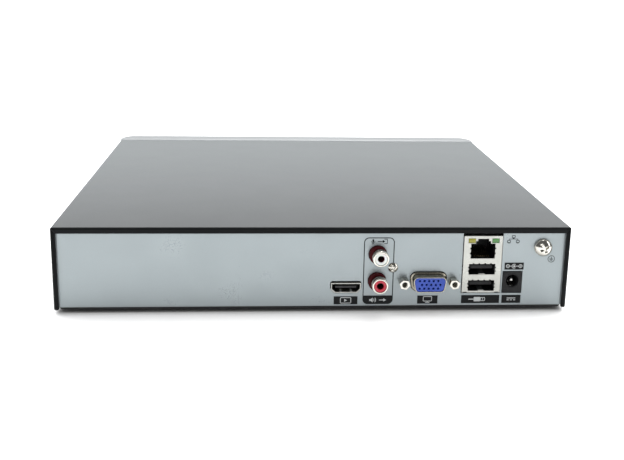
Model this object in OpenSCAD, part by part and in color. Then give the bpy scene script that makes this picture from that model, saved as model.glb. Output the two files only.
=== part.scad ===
// Network video recorder in a small steel case, with its drive, board, sockets and front bezel.
// The rear socket panel faces -Y, the front bezel faces +Y, and the rubber feet stand on z = 0.

/* [Case] */
// Width of the case
case_w = 255; // [254:0.5:262]
// Height of the case without its feet
case_h = 42; // [42:0.5:46]
// Depth of the case, from the rear flange to the bezel's front
case_d = 240; // [238:1:250]
// Depth of the front bezel
bezel_d = 17; // [15:0.5:20]
// Radius of the bezel's front corners, seen from above
bezel_corner_r = 13; // [4:0.5:14]
// Thickness of the steel sheet
sheet = 1; // [0.8:0.1:1.2]
// Outside radius of the cover's bends
bend_r = 1.3; // [1.25:0.05:1.6]
// Height of the rubber feet
foot_h = 2; // [1.8:0.1:4]
// Width of the cover's rear flange at the sides
flange_side = 2.7; // [2.5:0.1:3]
// Width of the cover's rear flange at the top
flange_top = 3; // [2.5:0.1:3.2]
// Clearance around the lift-off cover
fit_gap = 0.3; // [0.25:0.05:0.4]

/* [Rear sockets] */
// How far the audio jacks stand out behind the cover's rear flange
jack_reach = 7; // [6:0.5:9]
// Digital video socket, centre from the middle of the panel
video_x = 15.6; // [12:0.1:16]
// Digital video socket, centre above the case bottom
video_z = 10.4; // [10.2:0.1:11]
// Audio jacks, centre from the middle of the panel
audio_x = 31.7; // [31:0.1:33]
// Upper audio jack, centre above the case bottom
audio_in_z = 27.9; // [27:0.1:29]
// Lower audio jack, centre above the case bottom
audio_out_z = 14; // [13:0.1:15]
// Monitor socket, centre from the middle of the panel
monitor_x = 56.8; // [56:0.1:58]
// Monitor socket, centre above the case bottom
monitor_z = 13.7; // [13:0.1:15]
// Distance between the monitor socket's two jackscrews
monitor_pitch = 24.99; // [24.9:0.01:25.1]
// Network and peripheral socket stack, centre from the middle of the panel
stack_x = 83.45; // [83:0.05:84]
// Width of the socket stack
stack_w = 19.3; // [19:0.1:19.4]
// Height of the socket stack
stack_h = 29.6; // [29.4:0.1:30]
// Power jack, centre from the middle of the panel
power_x = 99.3; // [99.2:0.1:101]
// Power jack, hole above the case bottom
power_z = 13.95; // [13.5:0.05:14.5]
// Ground screw, centre from the middle of the panel
ground_x = 113.8; // [112:0.1:115]
// Ground screw, centre above the case bottom
ground_z = 31.4; // [30:0.1:33]

/* [Main board] */
// Top of the main board above the case bottom
board_top = 7.5; // [7.5:0.1:7.6]
// Width of the main board
board_w = 122; // [118:1:126]
// Depth of the main board
board_d = 104; // [96:1:110]

/* [Hard drive] */
// Width of the drive
drive_w = 101.6; // [101.6]
// Length of the drive
drive_l = 147; // [147]
// Height of the drive
drive_h = 26.1; // [26.1]
// Radius of the drive's platters
platter_r = 47.5; // [47.5]

/* [Hidden] */
$fn = 48;

steel_black = [0.16, 0.17, 0.18];
panel_grey = [0.66, 0.7, 0.72];
nickel = [0.78, 0.77, 0.72];
tin = [0.86, 0.86, 0.82];
plastic_black = [0.07, 0.07, 0.08];
board_green = [0.05, 0.3, 0.17];
chip_black = [0.12, 0.12, 0.13];
gold = [0.85, 0.68, 0.3];
cast_grey = [0.55, 0.56, 0.57];

// Case planes
z_case = foot_h;
z_top = foot_h + case_h;
y_rear = -(case_d + jack_reach) / 2 + jack_reach;
y_front = y_rear + case_d;
y_bezel = y_front - bezel_d + fit_gap;
y_cover_end = y_front - bezel_d;
y_panel = y_rear + sheet + fit_gap;
y_inside = y_panel + sheet;
x_side = case_w / 2;
screw_recess = 1.6;
x_chassis = x_side - screw_recess - sheet - fit_gap;
x_panel = x_side - sheet - fit_gap;
y_pan_end = y_cover_end - 1;
pan_side_h = 18;
panel_ear = 10;
floor_z = z_case + sheet;

// Cover screws
screw_z = z_case + 11;
cover_screw_ys = [y_rear + 32, y_cover_end - 27];
cover_shank_r = 1.5;
cover_head_r = 3;
channel_w = 9;
channel_h = 17;

// Main board
board_t = 1.6;
board_z = z_case + board_top;
board_x0 = -8;
board_y0 = y_inside + 0.8;
board_y1 = board_y0 + board_d;
standoff_r = 2.6;
standoff_screw_r = 1.35;
board_holes = [for (x = [board_x0 + 5, board_x0 + board_w - 5])
    for (y = [board_y0 + 22, board_y1 - 5]) [x, y]];

// Hard drive
drive_x0 = -x_chassis + 4;
drive_y0 = -70;
spacer_h = 3;
drive_z = floor_z + spacer_h;
drive_hole_pitch = 95.25;
drive_hole_ys = [41.28, 85.73];
drive_screw_r = 1.7;
spindle = [50.8, 94];
pivot = [72, 41];
lid_t = 1;
lid_step = 0.5;
drive_base_h = drive_h - lid_t - lid_step;
pocket_floor = 9;
platter_t = 1.2;
platter_zs = [13.2, 18.4];
hub_r = 12.5;
spindle_r = 2.5;
running_gap = 0.05;
arm_l = 51;
park_deg = 22;
swing_deg = 28;
arm_bearing_r = 4;

// Front parts
bezel_screw_x = 95;
bezel_screw_z = z_case + 9;
bezel_shank_r = 1.25;
window_x = 70;
front_plug_x = window_x + 6;
window_w = 60;
window_h = 9;
window_z = z_case + 24;
front_board_y = y_bezel + 4;
front_board_t = 1.2;
pipe_xs = [-20, -12, -4];
receiver_x = 16;

// Socket sizes
stack_base = 7.85;
stack_z = z_case + stack_base;
stack_d = 21.5;
stack_proud = 0.6;
lan_w = 12.2;
lan_z = 25.8;
lan_h = 7.7;
latch_w = 7.5;
port_w = 13.3;
port_h = 5.5;
port_zs = [8.8, 17.4];
led_w = 3.7;
led_h = 2.4;
led_z = 35;
led_xs = [-5.7, 6.2];
audio_zs = [audio_in_z, audio_out_z];
audio_hole_r = 4.65;
barrel_r = 4.02;
barrel_bore_r = 3.15;
sleeve_r = 3.5;
boss_r = 4.45;
boss_shift = 0.7;
boss_reach = 2.6;
plug_hole_r = 1.7;
audio_screw_at = [38.8, 21];
jack_hole_r = 3.15;
jack_pin_r = 1;
pin_root_r = 1.4;
shell_proud = 5.5;
jackscrew_af = 4.75;
jackscrew_hole_r = 1.4;
contact_rows = [1.98, 0, -1.98];
contact_pitch = 2.29;
contact_hole_r = 0.58;
ground_shank_r = 1.95;
ground_hole_r = 2.25;
washer_t = 0.7;
washer_r = 4.45;
ground_gap = 0.1;

// ---------- helpers ----------

// A block from one corner to the other
module block(low, high) {
    translate(low) cube(high - low);
}

// A flat rectangle with round corners, centred
module round_rect(w, h, r) {
    square([w - 2 * r, h], center = true);
    square([w, h - 2 * r], center = true);
    for (x = [-1, 1]) for (y = [-1, 1])
        translate([x * (w / 2 - r), y * (h / 2 - r)]) circle(r);
}

// A rectangle from the origin with its lower left corner rounded
module corner_rect(w, h, r) {
    translate([r, 0]) square([w - r, h]);
    translate([0, r]) square([w, h - r]);
    translate([r, r]) circle(r);
}

// What a round corner leaves of a square one, at the origin
module corner_waste(r) {
    difference() {
        translate([-0.1, -0.1]) square(r + 0.1);
        translate([r, r]) circle(r);
    }
}

// A rectangle standing on y = 0 with round upper corners
module arch_rect(w, h, r) {
    translate([-w / 2, 0]) square([w, h - r]);
    translate([-w / 2 + r, 0]) square([w - 2 * r, h]);
    for (x = [-1, 1]) translate([x * (w / 2 - r), h - r]) circle(r);
}

// Draws in the rear panel's plane: x to the right, y up from the case bottom, z out of the panel
module at_panel(x = 0, z = 0) {
    translate([x, y_panel, z_case + z]) rotate([90, 0, 0]) children();
}

// A panel outline from one depth to another, outwards positive
module panel_plate(low, high) {
    translate([0, 0, low]) linear_extrude(high - low) children();
}

// Draws in the plane across the case: x along Y, y along Z, extruded along X about the middle
module along_x(len) {
    rotate([90, 0, 90]) translate([0, 0, -len / 2]) linear_extrude(len) children();
}

// Both sides of the case
module both_sides() {
    children();
    mirror([1, 0, 0]) children();
}

// A cross recess for a screwdriver, cut down from z = 0
module cross_recess(size, depth) {
    arm = size / 3.6;
    for (a = [0, 90]) rotate(a) translate([-size / 2, -arm / 2, -depth]) cube([size, arm, depth + 1]);
}

// A domed screw with its head from z = 0 up and its shank below
module pan_screw(head_r, head_h, shank_r, shank_l, turned = 0) {
    edge = head_h * 0.22;
    rise = head_h - edge;
    dome_r = (head_r * head_r + rise * rise) / (2 * rise);
    difference() {
        rotate_extrude() intersection() {
            square([head_r, head_h]);
            translate([0, head_h - dome_r]) circle(dome_r, $fn = 96);
        }
        rotate(turned) translate([0, 0, head_h]) cross_recess(head_r * 1.05, head_h * 0.65);
    }
    translate([0, 0, -shank_l]) cylinder(r = shank_r, h = shank_l + 0.2);
}

// A chip package on the main board
module chip(x, y, w, d, h) {
    block([x - w / 2, y - d / 2, board_z], [x + w / 2, y + d / 2, board_z + h]);
}

// A smooth curve through a route's points, with n steps between each pair
function blend_point(a, b, c, d, t) = 0.5 * (2 * b + (c - a) * t + (2 * a - 5 * b + 4 * c - d) * t * t
    + (3 * b - a - 3 * c + d) * t * t * t);
function smooth(p, n) = concat([for (i = [0:len(p) - 2]) for (k = [0:n - 1])
    blend_point(p[max(i - 1, 0)], p[i], p[i + 1], p[min(i + 2, len(p) - 1)], k / n)], [p[len(p) - 1]]);
function unit(v) = v / norm(v);
function heading(p, i) = unit(p[min(i + 1, len(p) - 1)] - p[max(i - 1, 0)]);
function sideways(p, side, i) = unit(side[i] - (side[i] * heading(p, i)) * heading(p, i));

// Sweeps an eight-sided section along a path, its width along the side vectors
module sweep(p, side, section, shift = 0) {
    rings = len(p);
    points = [for (i = [0:rings - 1]) let (s = sideways(p, side, i), u = cross(heading(p, i), s))
        for (q = section) p[i] + s * (q[0] + shift) + u * q[1]];
    walls = [for (i = [0:rings - 2]) for (k = [0:7]) let (a = i * 8 + k, b = i * 8 + (k + 1) % 8)
        for (f = [[a, a + 8, b], [b, a + 8, b + 8]]) f];
    polyhedron(points, concat(walls, [[for (k = [0:7]) k]], [[for (k = [7:-1:0]) (rings - 1) * 8 + k]]));
}

// ---------- case ----------

// Openings in the rear panel
module panel_holes() {
    translate([video_x - 0.1, video_z - 0.5]) arch_rect(15.6, 4.15, 1.3);
    translate([video_x, video_z]) video_outline(0.6);
    for (z = audio_zs) translate([audio_x - boss_shift, z]) circle(audio_hole_r);
    translate(audio_screw_at) circle(1.6);
    translate([monitor_x, monitor_z]) d_outline(1.75);
    for (s = [-1, 1]) translate([monitor_x + s * monitor_pitch / 2, monitor_z]) circle(1.9);
    translate([stack_x - 9.95, 7.4]) square([20, 31.4]);
    translate([power_x - 5.1, 7.3]) square([10.2, 11.7]);
    translate([ground_x, ground_z]) circle(ground_hole_r);
}

// Air slots in the bottom under the board
module floor_slots() {
    slot_l = 18;
    slot_w = 3.6;
    for (x = [12 : 15 : 102]) for (y = [-40, -12])
        translate([x, y]) rotate(90) round_rect(slot_l, slot_w, slot_w / 2 - 0.05);
}

// The rear panel stands on the pan's rear edge, which shows as a dark line under it
panel_base = sheet + 0.05;
module rear_panel() {
    top_edge = case_h - sheet - fit_gap;
    color(panel_grey) at_panel() panel_plate(-sheet, 0) difference() {
        translate([-x_panel, panel_base]) square([2 * x_panel, top_edge - panel_base]);
        panel_holes();
    }
}

// The pan's section across the case, its skin moved inwards by inset
module pan_section(inset) {
    translate([0, z_case + pan_side_h + inset]) mirror([0, 1])
        arch_rect(2 * (x_chassis - inset), pan_side_h, bend_r - inset + 0.02);
}

module chassis() {
    color(steel_black) difference() {
        union() {
            translate([0, y_pan_end, 0]) rotate([90, 0, 0])
                linear_extrude(y_pan_end - y_inside) difference() {
                    pan_section(0);
                    pan_section(sheet);
                }
            block([-x_chassis + 0.5, y_pan_end - sheet, z_case + 0.5],
                [x_chassis - 0.5, y_pan_end, z_case + pan_side_h]);
            both_sides() block([x_chassis - panel_ear, y_inside, floor_z + 2],
                [x_chassis - 0.5, y_inside + sheet, z_case + pan_side_h]);
            translate([0, y_inside + 0.1, 0]) rotate([90, 0, 0])
                linear_extrude(y_inside + 0.1 - y_panel) intersection() {
                    pan_section(0);
                    translate([-x_chassis, z_case]) square([2 * x_chassis, sheet]);
                }
        }
        both_sides() for (y = cover_screw_ys) translate([x_chassis + 1, y, screw_z])
            rotate([0, -90, 0]) cylinder(r = cover_shank_r + 0.05, h = 4);
        for (x = [-1, 1]) for (y = drive_hole_ys)
            translate([drive_x0 + drive_w / 2 + x * drive_hole_pitch / 2, drive_y0 + y, z_case - 1])
                cylinder(r = drive_screw_r + 0.2, h = 4);
        for (h = board_holes) translate([h[0], h[1], z_case - 1])
            cylinder(r = standoff_screw_r, h = 4);
        both_sides() translate([bezel_screw_x, y_pan_end + 1, bezel_screw_z]) rotate([90, 0, 0])
            cylinder(r = 1.7, h = 4);
        translate([front_plug_x, 0, z_case + 12])
            block([-8, y_pan_end - 2, 0], [8, y_pan_end + 1, 10]);
        translate([0, 0, z_case - 1]) linear_extrude(3) floor_slots();
    }
}

// The folded outer form of the cover, its skin moved inwards by inset
module folded_form(inset) {
    r = bend_r - inset + (inset > 0 ? 0.02 : 0);
    reach = y_cover_end - y_rear + 1;
    intersection() {
        translate([0, y_rear + reach, 0]) rotate([90, 0, 0]) linear_extrude(reach + 2)
            translate([0, z_case - 1]) arch_rect(case_w - 2 * inset, case_h + 1 - inset, r);
        along_x(case_w + 2) translate([y_rear + inset, z_top - inset]) mirror([0, 1])
            corner_rect(reach, case_h + 1, r);
        translate([0, 0, z_case - 1]) linear_extrude(case_h + 2) translate([0, y_rear + reach])
            mirror([0, 1]) arch_rect(case_w - 2 * inset, reach - inset, r);
    }
}

module top_cover() {
    pocket_floor_x = x_side - screw_recess;
    screw_slot_r = cover_shank_r + 0.4;
    color(steel_black) difference() {
        union() {
            difference() {
                folded_form(0);
                folded_form(sheet);
            }
            both_sides() for (y = cover_screw_ys)
                block([pocket_floor_x - sheet, y - channel_w / 2 - sheet, z_case],
                    [x_side - 0.2, y + channel_w / 2 + sheet, z_case + channel_h + sheet]);
        }
        block([-x_side - 1, y_rear - 1, z_case - 2], [x_side + 1, y_front, z_case]);
        block([-x_side - 1, y_cover_end, z_case - 2], [x_side + 1, y_front, z_top + 1]);
        block([-x_side + flange_side, y_rear - 1, z_case - 1],
            [x_side - flange_side, y_rear + sheet + 0.1, z_top - flange_top]);
        both_sides() {
            for (y = cover_screw_ys) {
                block([pocket_floor_x, y - channel_w / 2, z_case - 1],
                    [x_side + 1, y + channel_w / 2, z_case + channel_h]);
                block([pocket_floor_x - 2, y - screw_slot_r, z_case - 1],
                    [x_side, y + screw_slot_r, screw_z]);
                translate([pocket_floor_x - 2, y, screw_z]) rotate([0, 90, 0])
                    cylinder(r = screw_slot_r, h = 3);
            }
            at_panel() translate([0, 0, -sheet - 2]) linear_extrude(2 * sheet + 4) {
                translate([x_side, 0]) mirror([1, 0]) corner_waste(1.2);
                translate([x_side - flange_side, 0]) corner_waste(0.9);
            }
            at_panel(x_side, case_h) rotate(45) translate([-8, -0.1, -sheet + 0.5]) cube([8, 0.2, 3]);
        }
    }
}

module cover_screws() {
    color(nickel) both_sides() for (y = cover_screw_ys)
        translate([x_side - screw_recess + 0.15, y, screw_z]) rotate([0, 90, 0])
            pan_screw(cover_head_r, 1.3, cover_shank_r, 5, 20);
}

// The bezel's outer form, its skin moved inwards by inset
module bezel_form(inset) {
    edge = max(1.8 - inset, 0.3);
    depth = y_front - y_bezel;
    intersection() {
        translate([0, y_bezel, z_case - 1]) linear_extrude(case_h + 2)
            arch_rect(case_w - 2 * inset, depth - inset, bezel_corner_r - inset);
        rotate([90, 0, 90]) translate([0, 0, -x_side - 1]) linear_extrude(case_w + 2)
            translate([y_bezel, z_case + case_h / 2]) rotate(-90)
                arch_rect(case_h - 2 * inset, depth - inset, edge);
    }
}

module front_bezel() {
    wall = 2.2;
    color(plastic_black) difference() {
        union() {
            difference() {
                bezel_form(0);
                translate([0, -0.1, 0]) bezel_form(wall);
            }
            for (x = [-1, 1] * bezel_screw_x) translate([x, y_front - wall + 0.1, bezel_screw_z])
                rotate([90, 0, 0]) cylinder(r = 3.4, h = y_front - wall + 0.1 - y_pan_end);
        }
        for (x = [-1, 1] * bezel_screw_x) translate([x, y_bezel + 9, bezel_screw_z]) rotate([90, 0, 0])
            cylinder(r = bezel_shank_r + 0.05, h = 12);
        block([window_x - window_w / 2, y_front - wall - 1, window_z - window_h / 2],
            [window_x + window_w / 2, y_front + 1, window_z + window_h / 2]);
        block([-x_side + 8, y_front - 0.5, z_case + 14.5], [x_side - 8, y_front + 1, z_case + 15.3]);
    }
}

module bezel_screws() {
    color(nickel) for (x = [-1, 1] * bezel_screw_x) translate([x, y_pan_end - sheet, bezel_screw_z])
        rotate([90, 0, 0]) pan_screw(3, 1.6, bezel_shank_r, 9, 35);
}

module front_window() {
    color([0.08, 0.03, 0.05]) {
        block([window_x - window_w / 2 + 0.1, y_front - 2.5, window_z - window_h / 2 + 0.1],
            [window_x + window_w / 2 - 0.1, y_front - 0.2, window_z + window_h / 2 - 0.1]);
        block([window_x - window_w / 2 - 2, y_front - 3.6, window_z - window_h / 2 - 2],
            [window_x + window_w / 2 + 2, y_front - 2.4, window_z + window_h / 2 + 2]);
    }
}

module light_pipes() {
    color([0.9, 0.95, 0.95]) for (x = pipe_xs)
        translate([window_x + x, y_front - 3.7, window_z]) rotate([90, 0, 0])
            cylinder(r = 1.5, h = y_front - 3.7 - front_board_y - front_board_t - 2.1);
}

module front_board() {
    color(board_green) difference() {
        union() {
            block([window_x - 34, front_board_y, window_z - 8],
                [window_x + 34, front_board_y + front_board_t, window_z + 8]);
            color("white") block([window_x + 1, front_board_y - 4, window_z - 6],
                [window_x + 11, front_board_y + 0.1, window_z - 2]);
        }
        for (x = [-31, 31]) translate([window_x + x, front_board_y + 3, window_z])
            rotate([90, 0, 0]) cylinder(r = 1.2, h = 5);
    }
}

module status_leds() {
    color([0.75, 0.9, 0.75]) for (x = pipe_xs)
        translate([window_x + x - 1.6, front_board_y + front_board_t, window_z - 1.4]) cube([3.2, 1.9, 2.8]);
}

module ir_receiver() {
    color(chip_black) translate([window_x + receiver_x, front_board_y + front_board_t, window_z]) {
        block([-3, 0, -3.5], [3, 3, 3.5]);
        translate([0, 2.5, 0]) rotate([-90, 0, 0]) cylinder(r = 2.4, h = 2.2);
    }
}

// Ribbon cable from the front board down to the main board, seen from the side
cable_route = [[front_board_y - 4, window_z - 4], [100, window_z - 4], [94, window_z - 8], [88, floor_z + 5],
    [80, floor_z + 1.2], [50, floor_z + 1], [16, floor_z + 1], [4, floor_z + 3], [-1, board_z + 6],
    [-6, board_z + 13], [-11, board_z + 14], [-13.6, board_z + 11], [-14, board_z + 7.5]];
module front_cable() {
    line = smooth(cable_route, 5);
    half_t = 0.5;
    last = len(line) - 1;
    function normal(i) = let (d = heading(line, i)) [-d[1], d[0]];
    color([0.75, 0.75, 0.72]) translate([front_plug_x, 0, 0]) along_x(10) polygon(concat(
        [for (i = [0:last]) line[i] + normal(i) * half_t],
        [for (i = [last:-1:0]) line[i] - normal(i) * half_t]));
}

foot_r = 6;
foot_x = 108;
foot_ys = [y_rear + 18, y_cover_end - 12];
module rubber_feet() {
    color([0.1, 0.1, 0.1]) for (x = [-foot_x, foot_x]) for (y = foot_ys) translate([x, y, 0])
        rotate_extrude() {
            translate([0, 0.5]) square([foot_r, foot_h - 0.5]);
            square([foot_r - 0.5, foot_h]);
            translate([foot_r - 0.5, 0.5]) circle(0.5);
        }
}

label_t = 0.08;
group_box = [24, 39.2, 1.8, 36.6];
module panel_labels() {
    group_w = group_box[1] - group_box[0];
    group_h = group_box[3] - group_box[2];
    group_at = [(group_box[0] + group_box[1]) / 2, (group_box[2] + group_box[3]) / 2];
    color(plastic_black) at_panel() panel_plate(0, label_t) {
        translate([15.55, 3.9]) square([11.9, 4.2], center = true);
        translate([56.75, 4.05]) square([10.3, 4.3], center = true);
        translate([83.6, 4.15]) square([19.4, 4.3], center = true);
        translate([99.35, 4.15]) square([9.7, 4.3], center = true);
        translate([99.85, 21.55]) square([9.7, 3.7], center = true);
        difference() {
            translate(group_at) round_rect(group_w, group_h, 2.6);
            difference() {
                translate(group_at) round_rect(group_w - 0.9, group_h - 0.9, 2.15);
                square([60, 6.35]);
            }
            translate(audio_screw_at) circle(2.6);
        }
        translate([118.5, 25.3]) difference() {
            circle(1.8);
            circle(1.55);
        }
    }
}

// ---------- main board ----------

module main_board() {
    color(board_green) difference() {
        block([board_x0, board_y0, board_z - board_t], [board_x0 + board_w, board_y1, board_z]);
        for (h = board_holes) translate([h[0], h[1], board_z - 3]) cylinder(r = 1.7, h = 5);
    }
}

module board_standoffs() {
    color(gold) for (h = board_holes) translate([h[0], h[1], floor_z]) difference() {
        cylinder(r = standoff_r, h = board_z - board_t - floor_z);
        translate([0, 0, -1]) cylinder(r = standoff_screw_r + 0.05, h = 8);
    }
}

module board_screws() {
    color(nickel) for (h = board_holes) translate([h[0], h[1], board_z])
        pan_screw(2.7, 1.7, standoff_screw_r, 5, h[0]);
}

processor_at = [42, -62];
module processor() {
    color(chip_black) {
        chip(processor_at[0], processor_at[1], 23, 23, 0.9);
        chip(processor_at[0], processor_at[1], 17, 17, 1.6);
    }
}

module heatsink() {
    fins = 9;
    size = 32;
    base_z = board_z + 1.7;
    color([0.25, 0.26, 0.28]) translate([processor_at[0], processor_at[1], base_z]) {
        block([-size / 2, -size / 2, 0], [size / 2, size / 2, 2.5]);
        for (i = [0:fins - 1]) translate([-size / 2 + i * (size - 1.2) / (fins - 1), -size / 2, 2.4])
            cube([1.2, size, 8]);
    }
}

module memory_chips() {
    color(chip_black) for (y = [-74, -60, -46]) chip(70, y, 8, 12.5, 1.1);
    color(chip_black) chip(42, -36, 12.5, 8, 1.1);
}

module small_chips() {
    color(chip_black) {
        chip(83.5, -78, 12.5, 16, 5.5);
        chip(20, -84, 5, 6, 1.5);
        chip(60, -88, 7, 7, 1);
        chip(14, -50, 5, 8, 1.6);
        chip(98, -66, 7, 8, 1.8);
        chip(98, -50, 6.5, 7, 1.8);
        chip(24, -24, 11, 5, 3.6);
    }
}

module inductors() {
    color([0.2, 0.2, 0.2]) for (p = [[106, -80, 10], [88, -60, 7], [88, -48, 7], [20, -66, 6]])
        translate([p[0], p[1], board_z]) {
            block([-p[2] / 2, -p[2] / 2, 0], [p[2] / 2, p[2] / 2, 0.8]);
            cylinder(r = p[2] / 2 - 0.4, h = 4.5);
        }
}

// Each capacitor's place, radius and height
module capacitors() {
    for (p = [[98, -95, 4, 11], [95, -83, 3.15, 9], [106, -62, 3.15, 9], [106, -48, 3.15, 9],
            [12, -72, 2.5, 7], [72, -26, 3.15, 8], [82, -26, 3.15, 8]])
        color([0.7, 0.7, 0.72]) translate([p[0], p[1], board_z]) {
            cylinder(r = p[2], h = p[3]);
            cylinder(r = p[2] + 0.25, h = 1.2);
        }
}

cell_at = [100, -26];
module cell_holder() {
    color(chip_black) translate([cell_at[0], cell_at[1], board_z]) difference() {
        cylinder(r = 11.8, h = 4.4);
        translate([0, 0, 1]) cylinder(r = 10.15, h = 5);
        translate([-15, 3, 1]) cube([30, 12, 5]);
    }
}

module clock_cell() {
    color([0.82, 0.82, 0.8]) translate([cell_at[0], cell_at[1], board_z + 1.05]) {
        cylinder(r = 8.6, h = 3.2);
        translate([0, 0, 0.6]) cylinder(r = 10, h = 2.6);
    }
}

module buzzer() {
    color(plastic_black) translate([8, -98, board_z]) difference() {
        cylinder(r = 6, h = 8.5);
        translate([0, 0, 6]) cylinder(r = 1.3, h = 4);
    }
}

data_header_at = [4, -36];
power_header_at = [4, -18];
module board_headers() {
    color([0.85, 0.83, 0.75]) {
        translate([power_header_at[0], power_header_at[1], board_z]) difference() {
            block([-3.2, -6.2, 0], [3.2, 6.2, 6]);
            block([-2.4, -5.4, 1], [2.4, 5.4, 7]);
        }
        translate([front_plug_x, -14, board_z]) difference() {
            block([-6.2, -2.8, 0], [6.2, 2.8, 5]);
            block([-5.4, -2, 1], [5.4, 2, 6]);
        }
    }
    color(chip_black) translate([data_header_at[0], data_header_at[1], board_z]) difference() {
        block([-3, -8, 0], [3, 8, 7]);
        block([-2, -7, 1.5], [2, 7, 8]);
    }
}

// ---------- rear sockets ----------

// The digital video socket's outline, grown by g
module video_outline(g) {
    wide = 6.98 + g;
    narrow = 5.3 + g * 0.5;
    shoulder = -0.5 - g * 0.4;
    polygon([[-wide, 2.05 + g], [wide, 2.05 + g], [wide, shoulder], [narrow, -2.15 - g],
        [-narrow, -2.15 - g], [-wide, shoulder]]);
}

video_depth = 11;
module video_shell() {
    color(tin) at_panel(video_x, video_z) {
        difference() {
            panel_plate(-video_depth, -0.1) video_outline(0.5);
            panel_plate(-video_depth + 0.5, 1) video_outline(0);
        }
        for (s = [-1, 1]) translate([s * 2.6 - 0.45, -2.2, -4]) cube([0.9, 0.45, 3.2]);
    }
}

module video_tongue() {
    color(plastic_black) at_panel(video_x, video_z) {
        panel_plate(-video_depth + 0.5, -1.3) translate([0, 0.2]) square([10.8, 1.2], center = true);
        panel_plate(-video_depth + 0.5, -8.6) video_outline(-0.05);
    }
}

module audio_block() {
    depth = 13;
    foot = sheet + 0.1;
    color([0.3, 0.02, 0.03]) difference() {
        at_panel() {
            block([audio_x - 5.6, 7.5, -foot - depth], [audio_x + 5.6, audio_in_z + 6.2, -foot]);
            block([audio_x + 5, audio_screw_at[1] - 3, -foot - 4],
                [audio_screw_at[0] + 2.4, audio_screw_at[1] + 3, -foot]);
            for (z = audio_zs) translate([audio_x - boss_shift, z, -foot - 1])
                cylinder(r = boss_r, h = foot + 1 + boss_reach);
        }
        at_panel() {
            for (z = audio_zs) translate([audio_x, z, -20]) cylinder(r = sleeve_r + 0.05, h = 30);
            translate([audio_screw_at[0], audio_screw_at[1], -20]) cylinder(r = 1.2, h = 30);
        }
    }
}

// Reach of the audio barrels from the panel
barrel_reach = jack_reach + sheet + fit_gap;
module audio_barrels() {
    rim = 0.5;
    start = boss_reach + 0.05;
    color(tin) at_panel() for (z = audio_zs) translate([audio_x, z, 0]) difference() {
        union() {
            rotate_extrude() {
                translate([0, start]) square([barrel_r - 0.3, 2.2]);
                translate([0, start + 2.1]) square([barrel_r, 1]);
                translate([0, start + 3]) square([barrel_r - 0.35, 1]);
                translate([0, start + 3.7]) square([barrel_r, barrel_reach - start - 3.7 - rim]);
                translate([0, start + 3.7]) square([barrel_r - rim, barrel_reach - start - 3.7]);
                translate([barrel_r - rim, barrel_reach - rim]) circle(rim);
            }
            translate([0, 0, -13]) cylinder(r = sleeve_r, h = 13 + start + 0.5);
        }
        translate([0, 0, -12.5]) cylinder(r = plug_hole_r + 0.8, h = 30);
        translate([0, 0, -2]) cylinder(r = barrel_bore_r, h = 30);
    }
}

// The plastic ring that lines one audio jack, with the plug's hole
module jack_ring(z) {
    at_panel(audio_x, z) difference() {
        union() {
            translate([0, 0, -12.5]) cylinder(r = plug_hole_r + 0.75, h = 12);
            translate([0, 0, -1.95]) cylinder(r = barrel_bore_r - 0.03, h = barrel_reach + 1.95 - 0.25);
        }
        translate([0, 0, -11.5]) cylinder(r = plug_hole_r, h = 30);
    }
}

module audio_in_ring() {
    color("white") jack_ring(audio_in_z);
}

module audio_out_ring() {
    color([0.75, 0.1, 0.14]) jack_ring(audio_out_z);
}

module audio_screw() {
    color(nickel) at_panel(audio_screw_at[0], audio_screw_at[1]) pan_screw(2.5, 1.5, 1.15, 4.8, 25);
}

// Points on an arc, in steps
function arc(at, r, from, to) = [for (i = [0:6])
    let (a = from + (to - from) * i / 6) at + r * [cos(a), sin(a)]];

// The monitor socket's D outline, grown by g: wider at the top
module d_outline(g) {
    r = 1.8 + g;
    top_x = 5.9;
    low_x = 5.3;
    y = 1.7;
    slope = atan((top_x - low_x) / (2 * y));
    polygon(concat(arc([top_x, y], r, -slope, 90), arc([-top_x, y], r, 90, 180 + slope),
        arc([-low_x, -y], r, 180 + slope, 270), arc([low_x, -y], r, 270, 360 - slope)));
}

module monitor_block() {
    color(chip_black) at_panel() difference() {
        translate([monitor_x - 15.4, 7.5, -sheet - 11]) cube([30.8, 12.3, 10]);
        for (s = [-1, 1]) translate([monitor_x + s * monitor_pitch / 2, monitor_z, -20])
            cylinder(r = 1.65, h = 30);
        translate([monitor_x, monitor_z, -8.5]) linear_extrude(10) d_outline(0.05);
    }
}

module monitor_shell() {
    color(nickel) at_panel(monitor_x, monitor_z) difference() {
        union() {
            panel_plate(-sheet - 0.9, -sheet - 0.05) square([30.8, 12.4], center = true);
            panel_plate(-sheet - 0.9, 0.5) d_outline(1.4);
            panel_plate(0, shell_proud) d_outline(0.45);
        }
        panel_plate(-5, shell_proud + 1) d_outline(0.05);
        for (s = [-1, 1]) translate([s * monitor_pitch / 2, 0, -10]) cylinder(r = 1.65, h = 20);
    }
}

module monitor_insert() {
    color([0.2, 0.3, 0.75]) at_panel(monitor_x, monitor_z) difference() {
        panel_plate(-8.4, shell_proud - 0.25) d_outline(0);
        for (row = [0:2]) for (k = [-2:2])
            translate([(k + (row == 1 ? 0.25 : -0.25)) * contact_pitch, contact_rows[row], -3])
                cylinder(r = contact_hole_r, h = 12);
    }
}

module jackscrews() {
    hex_r = jackscrew_af / 2 / cos(30);
    color(nickel) at_panel(monitor_x, monitor_z) for (s = [-1, 1])
        translate([s * monitor_pitch / 2, 0, 0]) difference() {
            union() {
                rotate(s * 12) cylinder(r = hex_r, h = 5.2, $fn = 6);
                translate([0, 0, -9]) cylinder(r = 1.6, h = 10);
            }
            translate([0, 0, -0.8]) cylinder(r = jackscrew_hole_r, h = 10);
        }
}

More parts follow.
